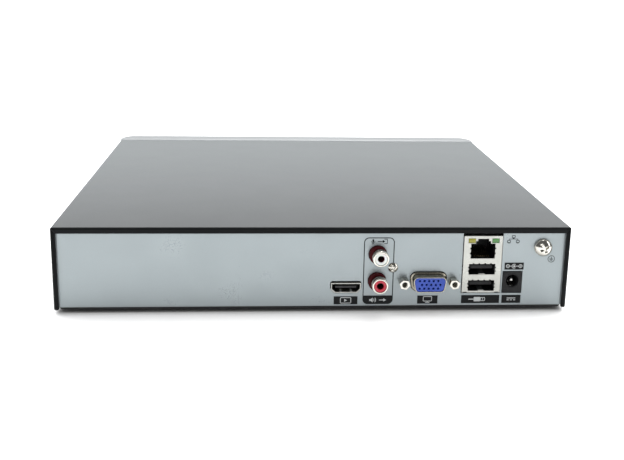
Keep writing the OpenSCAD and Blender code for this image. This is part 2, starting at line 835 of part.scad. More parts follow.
// Front outline of the network socket with its latch step, from its lower edge
module lan_outline(g = 0) {
    translate([-lan_w / 2 - g, -g]) square([lan_w + 2 * g, lan_h + 2 * g]);
    translate([-latch_w / 2 - g, 0]) square([latch_w + 2 * g, lan_h + 1.3 + g]);
    translate([-latch_w / 2 + 1 - g, 0]) square([latch_w - 2 + 2 * g, lan_h + 2.5 + g]);
}

// Peripheral socket outline with its spring notches
module port_outline() {
    square([port_w, port_h], center = true);
    for (x = [-4.4, -1.5, 1.5, 4.4]) translate([x, port_h / 2]) circle(0.45);
    for (s = [-1, 1]) for (y = [-0.9, 0.9]) translate([s * port_w / 2, y]) circle(0.45);
}

module socket_cage() {
    wall = 0.35;
    x0 = -stack_w / 2;
    color(tin) at_panel(stack_x, stack_z - z_case) difference() {
        translate([x0, 0, stack_proud - stack_d]) cube([stack_w, stack_h, stack_d]);
        translate([x0 + wall, -1, stack_proud - stack_d + wall])
            cube([stack_w - 2 * wall, stack_h + 1 - wall, stack_d - 2 * wall]);
        translate([0, lan_z - stack_base, -1]) linear_extrude(4) {
            lan_outline();
            for (s = [-1, 1]) for (y = [2.6, 5.2]) translate([s * lan_w / 2, y]) circle(0.5);
        }
        for (z = port_zs) translate([0, z - stack_base + port_h / 2, -1]) linear_extrude(4) port_outline();
        for (x = led_xs) translate([x - led_w / 2, led_z - stack_base - led_h / 2, -1])
            cube([led_w, led_h, 4]);
        for (s = [-1, 1]) translate([s * (stack_w / 2 - 1.6) - 1.1, -0.1, -1]) cube([2.2, 0.5, 4]);
    }
}

module socket_core() {
    inset = 0.4;
    front = stack_proud - 0.4;
    back = stack_proud - stack_d + 0.4;
    color(plastic_black) at_panel(stack_x, stack_z - z_case) difference() {
        translate([-stack_w / 2 + inset, 0.02, back])
            cube([stack_w - 2 * inset, stack_h - 0.42, front - back]);
        translate([0, lan_z - stack_base, front - 14]) linear_extrude(20) lan_outline(0.02);
        for (z = port_zs) translate([0, z - stack_base + port_h / 2, front - 14]) linear_extrude(20)
            square([port_w + 0.3, port_h + 0.3], center = true);
        for (x = led_xs) translate([x - led_w / 2 - 0.02, led_z - stack_base - led_h / 2 - 0.02, -6])
            cube([led_w + 0.04, led_h + 0.04, 10]);
    }
}

module lan_contacts() {
    front = stack_proud - 0.4;
    color(gold) at_panel(stack_x, lan_z) for (k = [-3.5:3.5]) translate([k * 1.02 - 0.2, 0, 0]) {
        translate([0, 0.02, front - 13.9]) cube([0.4, 0.5, 11.5]);
        translate([0, 0.3, front - 6]) rotate([18, 0, 0]) translate([0, 0, -6.5]) cube([0.4, 0.35, 6.5]);
    }
}

// One indicator lens of the network socket
module lan_led(side) {
    at_panel(stack_x + led_xs[side], led_z) panel_plate(-5, stack_proud - 0.1)
        square([led_w - 0.06, led_h - 0.06], center = true);
}

module lan_led_yellow() {
    color([0.75, 0.7, 0.1]) lan_led(0);
}

module lan_led_green() {
    color([0.25, 0.6, 0.3]) lan_led(1);
}

module port_tongues() {
    color([0.15, 0.15, 0.17]) at_panel(stack_x, 0) for (z = port_zs)
        translate([0, z + port_h / 2 + 0.9, 0]) panel_plate(-13.75, -0.9) square([11.2, 1.9], center = true);
}

jack_depth = 14;
module power_jack() {
    color(plastic_black) at_panel(power_x, 0) difference() {
        translate([-4.95, 7.5, 0.2 - jack_depth]) cube([9.9, 11.3, jack_depth]);
        translate([0, power_z, -10]) cylinder(r = jack_hole_r, h = 20);
        translate([0, power_z, -jack_depth - 1]) cylinder(r = pin_root_r + 0.02, h = 20);
    }
}

module power_pin() {
    color(tin) at_panel(power_x, power_z) {
        translate([0, 0, -jack_depth]) cylinder(r = pin_root_r, h = jack_depth - 10);
        translate([0, 0, -10.1]) cylinder(r = jack_pin_r, h = 8.1);
        translate([0, 0, -2]) sphere(jack_pin_r, $fn = 24);
    }
}

module ground_nut() {
    color(nickel) at_panel(ground_x, ground_z) difference() {
        translate([0, 0, -sheet - 3.5]) cylinder(r = 4, h = 3.5, $fn = 6);
        translate([0, 0, -sheet - 5]) cylinder(r = ground_shank_r + running_gap, h = 8);
    }
}

module ground_washer() {
    color(nickel) at_panel(ground_x, ground_z) difference() {
        translate([0, 0, ground_gap]) cylinder(r = washer_r, h = washer_t);
        cylinder(r = ground_shank_r + running_gap, h = 8);
    }
}

module ground_screw() {
    color(nickel) at_panel(ground_x, ground_z) translate([0, 0, 2 * ground_gap + washer_t])
        pan_screw(4.35, 2.7, ground_shank_r, 8, 30);
}

// ---------- hard drive ----------

module at_drive() {
    translate([drive_x0, drive_y0, drive_z]) children();
}

// The drive's foot print with its clipped corners
module drive_plan() {
    c = 1.5;
    polygon([[0, c], [c, 0], [drive_w - c, 0], [drive_w, c], [drive_w, drive_l - c],
        [drive_w - c, drive_l], [c, drive_l], [0, drive_l - c]]);
}

// The space that the moving arm needs, seen from above
module arm_room() {
    intersection() {
        translate(pivot) circle(29.5);
        translate([4, 5]) square([drive_w - 8, 62]);
    }
}

module drive_base() {
    color(cast_grey) at_drive() difference() {
        linear_extrude(drive_base_h) drive_plan();
        difference() {
            translate([0, 0, pocket_floor]) linear_extrude(drive_base_h) {
                translate(spindle) circle(platter_r + 1.3);
                arm_room();
            }
            translate([spindle[0], spindle[1], 0]) cylinder(r = spindle_r, h = 22);
            translate([pivot[0], pivot[1], 0]) cylinder(r = arm_bearing_r, h = 22);
            translate([pivot[0], pivot[1], 0]) cylinder(r = arm_bearing_r + 1.4, h = pocket_floor + 1.2);
        }
        translate([8, 16, -1]) cube([drive_w - 16, 66, 3.2]);
        for (x = [-1, 1]) for (y = drive_hole_ys)
            translate([drive_w / 2 + x * drive_hole_pitch / 2, y, -1])
                cylinder(r = drive_screw_r + 0.05, h = 7);
        translate([51.5, -1, -1]) cube([47, 18, 3.2]);
        translate([53, -1, -1]) cube([44, 8, 8]);
        for (s = [0, 1]) for (y = [28.5, 69.8, 130.1])
            translate([s * drive_w, y, 6.35]) rotate([0, 90, 0]) cylinder(r = 1.6, h = 7, center = true);
    }
}

lid_screws = [[6, 8], [95.6, 8], [6, 76], [95.6, 76], [6, 139], [95.6, 139]];
module drive_lid() {
    color([0.72, 0.73, 0.74]) at_drive() difference() {
        union() {
            translate([0.6, 0.6, drive_base_h + 0.05]) cube([drive_w - 1.2, drive_l - 1.2, lid_t]);
            translate([spindle[0], spindle[1], drive_base_h + lid_t]) cylinder(r = 30, h = 0.4);
            for (p = lid_screws) translate([p[0], p[1], drive_base_h + lid_t])
                cylinder(r = 2.6, h = lid_step);
        }
        for (p = lid_screws) translate([p[0], p[1], drive_h + 0.1]) cross_recess(2.6, 0.9);
    }
}

module drive_platters() {
    color([0.85, 0.86, 0.88]) at_drive() translate([spindle[0], spindle[1], 0]) difference() {
        union() {
            translate([0, 0, pocket_floor + 0.6]) cylinder(r = hub_r, h = 12.4);
            for (z = platter_zs) translate([0, 0, z]) cylinder(r = platter_r, h = platter_t, $fn = 96);
            translate([0, 0, platter_zs[1] + platter_t]) cylinder(r = hub_r + 3, h = 1);
        }
        cylinder(r = spindle_r + running_gap, h = 40);
        for (a = [0:60:300]) rotate(a) translate([9, 0, 21]) cylinder(r = 1, h = 5);
    }
}

// Angle of the arm at rest, from the +X axis, parked at the platters' inner landing zone
arm_rest = atan2(spindle[1] - pivot[1], spindle[0] - pivot[0]) - park_deg;
module drive_arm() {
    color([0.75, 0.76, 0.78]) at_drive() translate([pivot[0], pivot[1], 0]) rotate(arm_rest) difference() {
        union() {
            translate([0, 0, pocket_floor + 1.7]) cylinder(r = 8, h = 11);
            for (z = [platter_zs[0] - 1.5, platter_zs[0] + platter_t + 0.9, platter_zs[1] - 1.5,
                    platter_zs[1] + platter_t + 0.9])
                translate([0, 0, z]) linear_extrude(0.6)
                    polygon([[0, -7.5], [arm_l - 12, -2.2], [arm_l, -1],
                        [arm_l, 1], [arm_l - 12, 2.2], [0, 7.5]]);
            translate([0, 0, platter_zs[0] + 1.6]) linear_extrude(3)
                polygon([[0, -7.5], [0, 7.5], [-20, 12], [-23, 6], [-23, -6], [-20, -12]]);
        }
        cylinder(r = arm_bearing_r + running_gap, h = 40);
    }
}

module drive_magnets() {
    color([0.6, 0.6, 0.62]) at_drive() translate([pivot[0], pivot[1], 0]) rotate(arm_rest - swing_deg / 2)
        for (z = [pocket_floor + 0.05, platter_zs[0] + 5.2]) translate([0, 0, z])
            linear_extrude(3) difference() {
                intersection() {
                    circle(27.5);
                    polygon([[0, 0], [-40, 24], [-40, -24]]);
                }
                circle(12.5);
            }
}

module drive_board() {
    color(board_green) at_drive() union() {
        block([9, 16.6, 0.2], [drive_w - 9, 81, 1.8]);
        block([52.5, 0.2, 0.2], [97.5, 16.8, 1.8]);
    }
    color(plastic_black) at_drive() {
        block([54, 0, 1.75], [96, 6.6, 6.4]);
        for (p = [[30, 40, 14], [60, 50, 10]])
            block([p[0], p[1], 1.75], [p[0] + p[2], p[1] + p[2], 2.1]);
    }
}

module drive_spacers() {
    color([0.15, 0.15, 0.16]) at_drive() for (x = [-1, 1]) for (y = drive_hole_ys)
        translate([drive_w / 2 + x * drive_hole_pitch / 2, y, -spacer_h]) difference() {
            cylinder(r = 4, h = spacer_h);
            translate([0, 0, -1]) cylinder(r = drive_screw_r + 0.15, h = 6);
        }
}

module drive_screws() {
    color(nickel) at_drive() for (x = [-1, 1]) for (y = drive_hole_ys)
        translate([drive_w / 2 + x * drive_hole_pitch / 2, y, -spacer_h - sheet]) mirror([0, 0, 1])
            pan_screw(3.6, 1.6, drive_screw_r, 8, 15);
}

// ---------- cables ----------

// Plugs on the drive face its rear end; plugs on the board stand on their headers
drive_data_x = drive_x0 + 87;
drive_power_x = drive_x0 + 68;
plug_y = drive_y0 - 9;
plug_z = drive_z + 4;
module cable_plugs() {
    color(plastic_black) {
        block([drive_data_x - 7, plug_y, plug_z - 3], [drive_data_x + 7, drive_y0 - 0.1, plug_z + 3]);
        block([drive_power_x - 11, plug_y, plug_z - 3], [drive_power_x + 11, drive_y0 - 0.1, plug_z + 3]);
        translate([data_header_at[0], data_header_at[1], board_z])
            block([-3.6, -7.6, 7.05], [3.6, 7.6, 15]);
    }
    color("white") {
        translate([power_header_at[0], power_header_at[1], board_z])
            block([-2.9, -5.9, 6.05], [2.9, 5.9, 10]);
        translate([front_plug_x, -14, board_z]) block([-5.9, -2.6, 5.05], [5.9, 2.6, 7.5]);
    }
}

// Routes from the board down to the drive, and the direction of each cable's width on the way
data_route = [[data_header_at[0], data_header_at[1], board_z + 15], [4, -37, 32], [0, -44, 37],
    [-8, -56, 38], [-17, -70, 36], [-23, -84, 31], [-27, -95, 22], [-30, -98, 14], [-32, -92, 10],
    [drive_data_x, plug_y, plug_z]];
data_sides = [[0, 1, 0], [0, 1, 0], [0.3, 0.9, 0], [0.6, 0.6, 0], [0.8, 0.4, 0], [0.9, 0.2, 0],
    [1, 0.1, 0], [1, 0, 0], [1, 0, 0], [1, 0, 0]];
power_route = [[power_header_at[0], power_header_at[1], board_z + 10], [4, -20, 27], [-2, -28, 34],
    [-12, -42, 35], [-24, -60, 35], [-36, -80, 31], [-44, -94, 22], [-49, -99, 14], [-51, -92, 10],
    [drive_power_x, plug_y, plug_z]];

// Half of the flat cable's section, and the round section of one wire
flat_half = [3.2, 1];
flat_section = [for (q = [[1, 0.5], [0.8, 1], [-0.8, 1], [-1, 0.5], [-1, -0.5], [-0.8, -1],
    [0.8, -1], [1, -0.5]]) [q[0] * flat_half[0], q[1] * flat_half[1]]];
wire_r = 0.8;
wire_section = [for (k = [0:7]) [wire_r * cos(45 * k), wire_r * sin(45 * k)]];

module data_cable() {
    color([0.65, 0.08, 0.08]) sweep(smooth(data_route, 4), smooth(data_sides, 4), flat_section);
}

module power_cable() {
    path = smooth(power_route, 3);
    sides = smooth(data_sides, 3);
    wire_colors = ["gold", "black", "black", "red"];
    for (k = [0:3]) color(wire_colors[k]) sweep(path, sides, wire_section, (k - 1.5) * 1.9);
}

chassis();
rear_panel();
top_cover();
cover_screws();
front_bezel();
bezel_screws();
front_window();
light_pipes();
front_board();
status_leds();
ir_receiver();
front_cable();
rubber_feet();
panel_labels();
main_board();
board_standoffs();
board_screws();
processor();
heatsink();
memory_chips();
small_chips();
inductors();
capacitors();
cell_holder();
clock_cell();
buzzer();
board_headers();
video_shell();
video_tongue();
audio_block();
audio_barrels();
audio_in_ring();
audio_out_ring();
audio_screw();
monitor_block();
monitor_shell();
monitor_insert();
jackscrews();
socket_cage();
socket_core();
lan_contacts();
lan_led_yellow();
lan_led_green();
port_tongues();
power_jack();
power_pin();
ground_nut();
ground_washer();
ground_screw();
drive_base();
drive_lid();
drive_platters();
drive_arm();
drive_magnets();
drive_board();
drive_spacers();
drive_screws();
data_cable();
power_cable();
cable_plugs();
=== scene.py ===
"""A small network video recorder seen from its socket side: finishes, fine detail, light and camera.

Lengths are millimetres in the part's frame unless a name says otherwise; Blender gets metres.
"""
import math
import random

import bmesh
import bpy
from mathutils import Matrix, Vector


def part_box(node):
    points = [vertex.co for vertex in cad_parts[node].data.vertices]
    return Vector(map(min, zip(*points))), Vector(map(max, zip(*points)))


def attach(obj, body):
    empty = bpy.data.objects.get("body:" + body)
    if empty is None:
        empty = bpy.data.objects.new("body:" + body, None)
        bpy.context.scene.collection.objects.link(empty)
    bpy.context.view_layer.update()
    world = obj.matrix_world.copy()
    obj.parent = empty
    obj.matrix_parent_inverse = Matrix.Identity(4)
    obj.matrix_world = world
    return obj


MM = 0.001
SAME_PLACE = 1e-6  # metres: vertices closer than this count as one
random.seed(12)
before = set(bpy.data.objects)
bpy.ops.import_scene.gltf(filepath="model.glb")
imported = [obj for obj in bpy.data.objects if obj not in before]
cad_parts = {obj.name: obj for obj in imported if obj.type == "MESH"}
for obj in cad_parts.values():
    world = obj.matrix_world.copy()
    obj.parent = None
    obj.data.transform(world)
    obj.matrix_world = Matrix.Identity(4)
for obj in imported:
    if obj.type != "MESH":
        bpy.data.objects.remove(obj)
bpy.context.view_layer.update()


# ---------- places, all read from the frame ----------

def box(node):
    """Lowest and highest corner of a CAD node, in millimetres."""
    low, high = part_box(node)
    return low / MM, high / MM


def centre(node):
    low, high = box(node)
    return (low + high) / 2


def solids(node):
    """Box of each separate solid of a CAD node, from left to right, then upwards, then to the front."""
    bm = bmesh.new()
    bm.from_mesh(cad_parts[node].data)
    bmesh.ops.remove_doubles(bm, verts=bm.verts, dist=SAME_PLACE)
    left = set(bm.verts)
    found = []
    while left:
        front = [left.pop()]
        corners = []
        while front:
            vert = front.pop()
            corners.append(vert.co / MM)
            for edge in vert.link_edges:
                other = edge.other_vert(vert)
                if other in left:
                    left.remove(other)
                    front.append(other)
        found.append((Vector(map(min, zip(*corners))), Vector(map(max, zip(*corners)))))
    bm.free()
    return sorted(found, key=lambda pair: [round(pair[0][axis], 1) for axis in (0, 2, 1)])


Y_PANEL = box("rear_panel")[0].y
Z_CASE = box("top_cover")[0].z
Z_BOARD = box("main_board")[1].z
PART = Matrix.Identity(4)  # the part's own frame
# In the panel's plane: x to the right, y up from the case bottom, z out of the panel
PANEL = Matrix(((1, 0, 0, 0), (0, 0, -1, Y_PANEL), (0, 1, 0, Z_CASE), (0, 0, 0, 1)))


def seen_from_above(low, high):
    """Middle of a box, in x and y."""
    return (low.x + high.x) / 2, (low.y + high.y) / 2


def seen_from_behind(low, high):
    """Middle of a box in the panel's plane."""
    return (low.x + high.x) / 2, (low.z + high.z) / 2 - Z_CASE


def on_panel(node):
    """Middle of a node in the panel's plane."""
    return seen_from_behind(*box(node))


# ---------- materials ----------

class Graph:
    """Adds shader nodes and joins them."""

    def __init__(self, tree):
        self.nodes = tree.nodes
        self.links = tree.links

    def add(self, kind, inputs=None, **settings):
        node = self.nodes.new(kind)
        for key, value in settings.items():
            setattr(node, key, value)
        for key, value in (inputs or {}).items():
            self.feed(node.inputs[key], value)
        return node

    def feed(self, socket, value):
        if isinstance(value, bpy.types.NodeSocket):
            self.links.new(value, socket)
        else:
            socket.default_value = value

    def calc(self, operation, one, two):
        return self.add("ShaderNodeMath", {0: one, 1: two}, operation=operation).outputs[0]

    def times(self, one, two):
        return self.calc("MULTIPLY", one, two)

    def spread(self, value, low, high, start=0.3, end=0.7, **settings):
        """Carries the range from start to end over to the one from low to high."""
        return self.add("ShaderNodeMapRange", {"Value": value, "From Min": start, "From Max": end,
                                               "To Min": low, "To Max": high}, **settings).outputs[0]


class Tree(Graph):
    """A material's nodes, with its texture place in the part's frame."""

    def __init__(self, name):
        self.material = bpy.data.materials.new(name)
        self.material.use_nodes = True
        super().__init__(self.material.node_tree)
        self.shader = self.nodes["Principled BSDF"]
        self.place = self.add("ShaderNodeTexCoord").outputs["Object"]

    def dressed(self, colour, rough, normal):
        """The finished material."""
        for name, value in (("Base Color", colour), ("Roughness", rough), ("Normal", normal)):
            self.feed(self.shader.inputs[name], value)
        return self.material

    def stretched(self, stretch):
        return self.add("ShaderNodeMapping", {"Vector": self.place, "Scale": stretch}).outputs[0]

    def noise(self, scale, detail=3.0, stretch=(1, 1, 1)):
        where = self.stretched(stretch) if tuple(stretch) != (1, 1, 1) else self.place
        texture = self.add("ShaderNodeTexNoise", {"Vector": where, "Scale": scale, "Detail": detail})
        return texture.outputs["Fac"]

    def mix(self, factor, one, two):
        node = self.add("ShaderNodeMix", data_type="RGBA")
        for socket, value in zip((node.inputs[0], node.inputs[6], node.inputs[7]), (factor, one, two)):
            self.feed(socket, value)
        return node.outputs[2]

    def edges(self, reach):
        """1 near edges and 0 on flat stretches, with reach in millimetres."""
        rounded = self.add("ShaderNodeBevel", {"Radius": reach * MM}, samples=4).outputs[0]
        true = self.add("ShaderNodeNewGeometry").outputs["Normal"]
        along = self.add("ShaderNodeVectorMath", {0: rounded, 1: true}, operation="DOT_PRODUCT")
        return self.spread(along.outputs["Value"], 1.0, 0.0, 0.9, 0.985)

    def painted_shade_factor(self, reach):
        """Painted shade: 1 in the open and lower where other faces are near, with reach in millimetres."""
        return self.add("ShaderNodeAmbientOcclusion", {"Distance": reach * MM}, samples=4).outputs["AO"]

    def bump(self, height, depth, normal=None):
        inputs = {"Height": height, "Distance": depth * MM, "Strength": 1.0}
        if normal is not None:
            inputs["Normal"] = normal
        return self.add("ShaderNodeBump", inputs).outputs[0]


def rgb(colour, gain=1.0):
    return (colour[0] * gain, colour[1] * gain, colour[2] * gain, 1.0)


def finish(key, name, colour, rough, vary, mottle, grain, depth, metallic=0.0, stretch=(1, 1, 1), speck=0.0,
           wear=None, dust=0.0, painted_shade_reach=0.0, rounded=0.0, **sockets):
    """Adds a finish with mottled colour, uneven gloss, fine relief, bright specks, worn edges and painted
    shade in corners and recesses.

    rough is the least and the most roughness and vary the colour's change in brightness.
    mottle and grain are the cloudy and the fine texture's scale per metre, depth the relief's depth.
    painted_shade_reach is how far painted shade darkens corners and recesses, and rounded the radius of edges
    that are only shaded round.
    """
    tree = Tree(name)
    clouds = tree.noise(mottle, 4)
    fine = tree.noise(grain, 2, stretch)
    tone = tree.mix(tree.spread(clouds, 0, 1), rgb(colour, 1 - vary), rgb(colour, 1 + vary))
    if speck:
        points = tree.noise(grain * 1.9, 1)
        tone = tree.mix(tree.spread(points, 0, speck, 0.56, 0.7), tone, rgb(colour, 2.2))
    if dust:
        patches = tree.spread(tree.noise(mottle * 3, 6), 0, dust, 0.48, 0.72)
        settled = tree.times(patches, tree.spread(fine, 0.4, 1))
        tone = tree.mix(settled, tone, (0.55, 0.55, 0.53, 1))
    if wear:
        rubbed = tree.times(tree.edges(0.3), tree.spread(tree.noise(350, 5), 0.05, 0.6, 0.45, 0.62))
        tone = tree.mix(rubbed, tone, rgb(wear))
    # Painted shade: where other faces are near, the colour darkens towards 12 % of the finish's colour, as
    # shade falls in corners and recesses.
    if painted_shade_reach:
        tone = tree.mix(tree.spread(tree.painted_shade_factor(painted_shade_reach), 0, 1, 0.15, 0.85), rgb(colour, 0.12), tone)
    smudge = tree.noise(mottle * 1.7, 5)
    gloss = tree.calc("ADD", tree.spread(smudge, *rough), tree.spread(fine, -0.03, 0.03))
    round_edge = None
    if rounded:
        round_edge = tree.add("ShaderNodeBevel", {"Radius": rounded * MM}, samples=6).outputs[0]
    tree.shader.inputs["Metallic"].default_value = metallic
    for socket, value in sockets.items():
        tree.shader.inputs[socket.replace("_", " ").title().replace("Ior", "IOR")].default_value = value
    FINISH[key] = tree.dressed(tone, gloss, tree.bump(fine, depth, round_edge))


def wire_surface():
    """Sleeves of four wires, each in its own colour."""
    tree = Tree("wire_sleeves")
    which = tree.add("ShaderNodeNewGeometry").outputs["Random Per Island"]
    ramp = tree.add("ShaderNodeValToRGB", {"Fac": which})
    ramp.color_ramp.interpolation = "CONSTANT"
    stops = ramp.color_ramp.elements
    stops[0].color = (0.55, 0.4, 0.03, 1)
    stops[1].position = 0.75
    stops[1].color = (0.45, 0.02, 0.02, 1)
    for place in (0.25, 0.5):
        stops.new(place).color = (0.02, 0.02, 0.022, 1)
    worn = tree.mix(tree.spread(tree.noise(90, 4), 0, 0.25), ramp.outputs["Color"], (0.2, 0.19, 0.18, 1))
    return tree.dressed(worn, tree.spread(tree.noise(300, 3), 0.32, 0.45),
                        tree.bump(tree.noise(900, 2), 0.004))


def circuit_surface():
    """Solder mask with tracks, pads and vias showing through."""
    tree = Tree("solder_mask")

    def cells(scale, **settings):
        return tree.add("ShaderNodeTexVoronoi", {"Vector": tree.place, "Scale": scale}, **settings)

    tracks = cells(260.0, distance="MANHATTAN").outputs["Distance"]
    tracked = tree.spread(tree.calc("PINGPONG", tree.times(tracks, 9.0), 1.0), 0, 1, 0.44, 0.56)
    poured = tree.spread(cells(60.0, distance="CHEBYCHEV").outputs["Color"], 0, 1, 0.42, 0.5)
    copper = tree.mix(tree.times(tracked, poured), (0.012, 0.09, 0.04, 1), (0.03, 0.17, 0.075, 1))
    vias = cells(300.0)
    vias.inputs["Randomness"].default_value = 0.75
    spots = tree.spread(vias.outputs["Distance"], 1, 0, 0.1, 0.14)
    return tree.dressed(tree.mix(tree.times(spots, 0.8), copper, (0.45, 0.42, 0.3, 1)),
                        tree.spread(tree.noise(90, 4), 0.28, 0.42), tree.bump(tracked, 0.02))


def ridged_ribbon_surface(name, colour, groove_shade, pitch, along, rough):
    """A flat ribbon of wires: one wire per pitch along one axis, with a darker line of painted shade in the
    groove between two wires.
    """
    tree = Tree(name)
    axes = tree.add("ShaderNodeSeparateXYZ", {0: tree.place}).outputs
    wave = tree.calc("PINGPONG", tree.times(axes[along], 1 / (pitch * MM)), 1.0)
    hollow = tree.spread(wave, 0, 1, 0.0, 0.35)
    base = tree.mix(tree.spread(tree.noise(120, 3), 0, 1), rgb(colour, 0.92), rgb(colour, 1.06))
    # Painted shade: the groove between two wires takes the darker colour.
    return tree.dressed(tree.mix(hollow, rgb(groove_shade), base), tree.spread(tree.noise(300, 3), *rough),
                        tree.bump(hollow, 0.12))


METAL = {"metallic": 1.0}
FINISH = {
    "board": circuit_surface(),
    "ribbon": ridged_ribbon_surface("grey_ribbon", (0.5, 0.5, 0.48), (0.26, 0.26, 0.25), 1.0, 0, (0.38, 0.5)),
    "sleeve": wire_surface(),
}
finish("cover", "textured_black_paint", (0.0035, 0.0039, 0.0043), (0.4, 0.43), 0.03, 30, 2600, 0.008,
       speck=0.1, wear=(0.03, 0.03, 0.03), ior=1.16, sheen_weight=0.5, sheen_roughness=0.35,
       sheen_tint=(0.9, 0.97, 1.0, 1.0))
finish("pan", "black_paint_inside", (0.01, 0.0105, 0.011), (0.42, 0.55), 0.06, 40, 2600, 0.006, dust=0.02,
       rounded=0.25, ior=1.35)
finish("panel", "silver_paint", (0.281, 0.316, 0.328), (0.28, 0.37), 0.02, 25, 3400, 0.005, metallic=0.6,
       speck=0.08, rounded=0.2)
finish("bezel", "bezel_satin", (0.178, 0.19, 0.197), (0.3, 0.4), 0.04, 40, 2600, 0.006, ior=1.3)
finish("window", "smoked_acrylic", (0.012, 0.006, 0.009), (0.04, 0.09), 0.1, 60, 1500, 0.0006,
       coat_weight=0.6)
finish("guide", "clear_acrylic", (0.85, 0.9, 0.9), (0.05, 0.12), 0.03, 80, 1500, 0.001,
       transmission_weight=0.7)
finish("chip", "chip_epoxy", (0.022, 0.022, 0.024), (0.45, 0.6), 0.12, 120, 4200, 0.006, speck=0.12)
finish("nickel", "nickel_plate", (0.62, 0.605, 0.55), (0.1, 0.19), 0.06, 160, 2600, 0.0012,
       wear=(0.88, 0.86, 0.8), painted_shade_reach=0.9, **METAL)
# Painted shade: the monitor shell gets a darker copy of the nickel plate and painted shade reaching 5 mm, for
# the shade on and inside the shell.
finish("shell", "nickel_shell", (0.4, 0.37, 0.3), (0.12, 0.2), 0.06, 160, 2600, 0.0012,
       wear=(0.88, 0.86, 0.8), painted_shade_reach=5.0, **METAL)
finish("tin", "tin_plate", (0.76, 0.765, 0.73), (0.24, 0.36), 0.05, 110, 1500, 0.0025, stretch=(0.25, 1, 1),
       wear=(0.9, 0.9, 0.88), painted_shade_reach=0.6, **METAL)
finish("cage", "tin_plate_cage", (0.42, 0.425, 0.398), (0.26, 0.36), 0.05, 110, 1500, 0.0025,
       stretch=(0.25, 1, 1), rounded=0.15, **METAL)
finish("black", "moulded_black", (0.006, 0.0064, 0.0072), (0.34, 0.46), 0.1, 130, 3000, 0.005, dust=0.01,
       ior=1.32)
finish("white", "moulded_white", (0.64, 0.65, 0.63), (0.3, 0.42), 0.03, 110, 2600, 0.003,
       subsurface_weight=0.15, subsurface_scale=0.0006)
finish("red", "moulded_red", (0.4, 0.016, 0.034), (0.3, 0.42), 0.08, 110, 2600, 0.003, subsurface_weight=0.1,
       subsurface_scale=0.0004)
finish("dark_red", "socket_body_red", (0.045, 0.0012, 0.003), (0.4, 0.5), 0.12, 110, 2600, 0.005, ior=1.22)
finish("blue", "moulded_blue", (0.013, 0.05, 0.34), (0.34, 0.46), 0.08, 130, 2600, 0.004, painted_shade_reach=0.5)
finish("yellow_lens", "yellow_lens", (0.2, 0.19, 0.012), (0.12, 0.22), 0.15, 400, 2600, 0.001, painted_shade_reach=0.5,
       emission_color=(0.6, 0.5, 0.02, 1), emission_strength=0.04)
finish("green_lens", "green_lens", (0.05, 0.16, 0.04), (0.12, 0.22), 0.15, 400, 2600, 0.001, painted_shade_reach=0.5,
       emission_color=(0.1, 0.5, 0.12, 1), emission_strength=0.03)
finish("led", "diode_lens", (0.72, 0.8, 0.72), (0.12, 0.22), 0.05, 300, 2600, 0.001, transmission_weight=0.5)
finish("rubber", "foot_rubber", (0.018, 0.018, 0.018), (0.6, 0.75), 0.15, 150, 1800, 0.03, dust=0.2)
finish("red_cable", "red_sleeve", (0.42, 0.02, 0.02), (0.3, 0.42), 0.08, 90, 900, 0.006)
finish("brass", "gold_flash", (0.72, 0.52, 0.22), (0.18, 0.28), 0.08, 200, 2600, 0.0012, **METAL)
finish("dull_gold", "dull_gold", (0.2, 0.16, 0.09), (0.3, 0.42), 0.08, 200, 2600, 0.0012, painted_shade_reach=0.4,
       **METAL)
finish("anodised", "black_anodised", (0.035, 0.037, 0.04), (0.3, 0.42), 0.1, 90, 2400, 0.004,
       wear=(0.3, 0.3, 0.3), metallic=0.5)
finish("can", "aluminium_can", (0.62, 0.62, 0.64), (0.26, 0.38), 0.05, 160, 2200, 0.002, stretch=(1, 1, 0.15),
       **METAL)
finish("ferrite", "ferrite", (0.06, 0.06, 0.064), (0.5, 0.65), 0.2, 260, 1900, 0.03, speck=0.2)
finish("cast", "cast_aluminium", (0.25, 0.257, 0.265), (0.42, 0.56), 0.1, 90, 1300, 0.04, metallic=0.85,
       wear=(0.6, 0.6, 0.6))
finish("lid", "brushed_lid", (0.37, 0.38, 0.39), (0.3, 0.42), 0.05, 60, 1800, 0.004, stretch=(1, 0.03, 1),
       **METAL)
finish("disc", "mirror_disc", (0.78, 0.79, 0.8), (0.02, 0.05), 0.01, 60, 1500, 0.0002, **METAL)
finish("cell", "bright_steel", (0.66, 0.66, 0.64), (0.16, 0.28), 0.05, 160, 1800, 0.002, stretch=(1, 0.1, 1),
       **METAL)
finish("print", "panel_ink", (0.0035, 0.0045, 0.005), (0.38, 0.5), 0.08, 90, 3200, 0.003, speck=0.05,
       ior=1.26)
finish("light_print", "light_ink", (0.42, 0.44, 0.44), (0.4, 0.5), 0.05, 300, 3600, 0.002)
finish("paper", "label_paper", (0.68, 0.68, 0.65), (0.42, 0.56), 0.03, 50, 1500, 0.004)
finish("grey_ink", "label_grey", (0.2, 0.2, 0.21), (0.45, 0.56), 0.06, 80, 2400, 0.002)
finish("ceramic", "tan_ceramic", (0.4, 0.29, 0.18), (0.4, 0.52), 0.12, 400, 3600, 0.003)
finish("solder", "solder", (0.62, 0.62, 0.6), (0.22, 0.38), 0.08, 500, 1800, 0.006, **METAL)
finish("copper", "enamelled_copper", (0.62, 0.24, 0.1), (0.2, 0.3), 0.08, 300, 2200, 0.004, **METAL)


# ---------- CAD nodes: finish and softened edges ----------

SHARP = math.radians(30)  # edges sharper than this stay sharp in the shading
ROUNDED = math.radians(32)  # edges sharper than this are rounded
FLAT = math.radians(0.4)  # faces that differ by less are merged into one


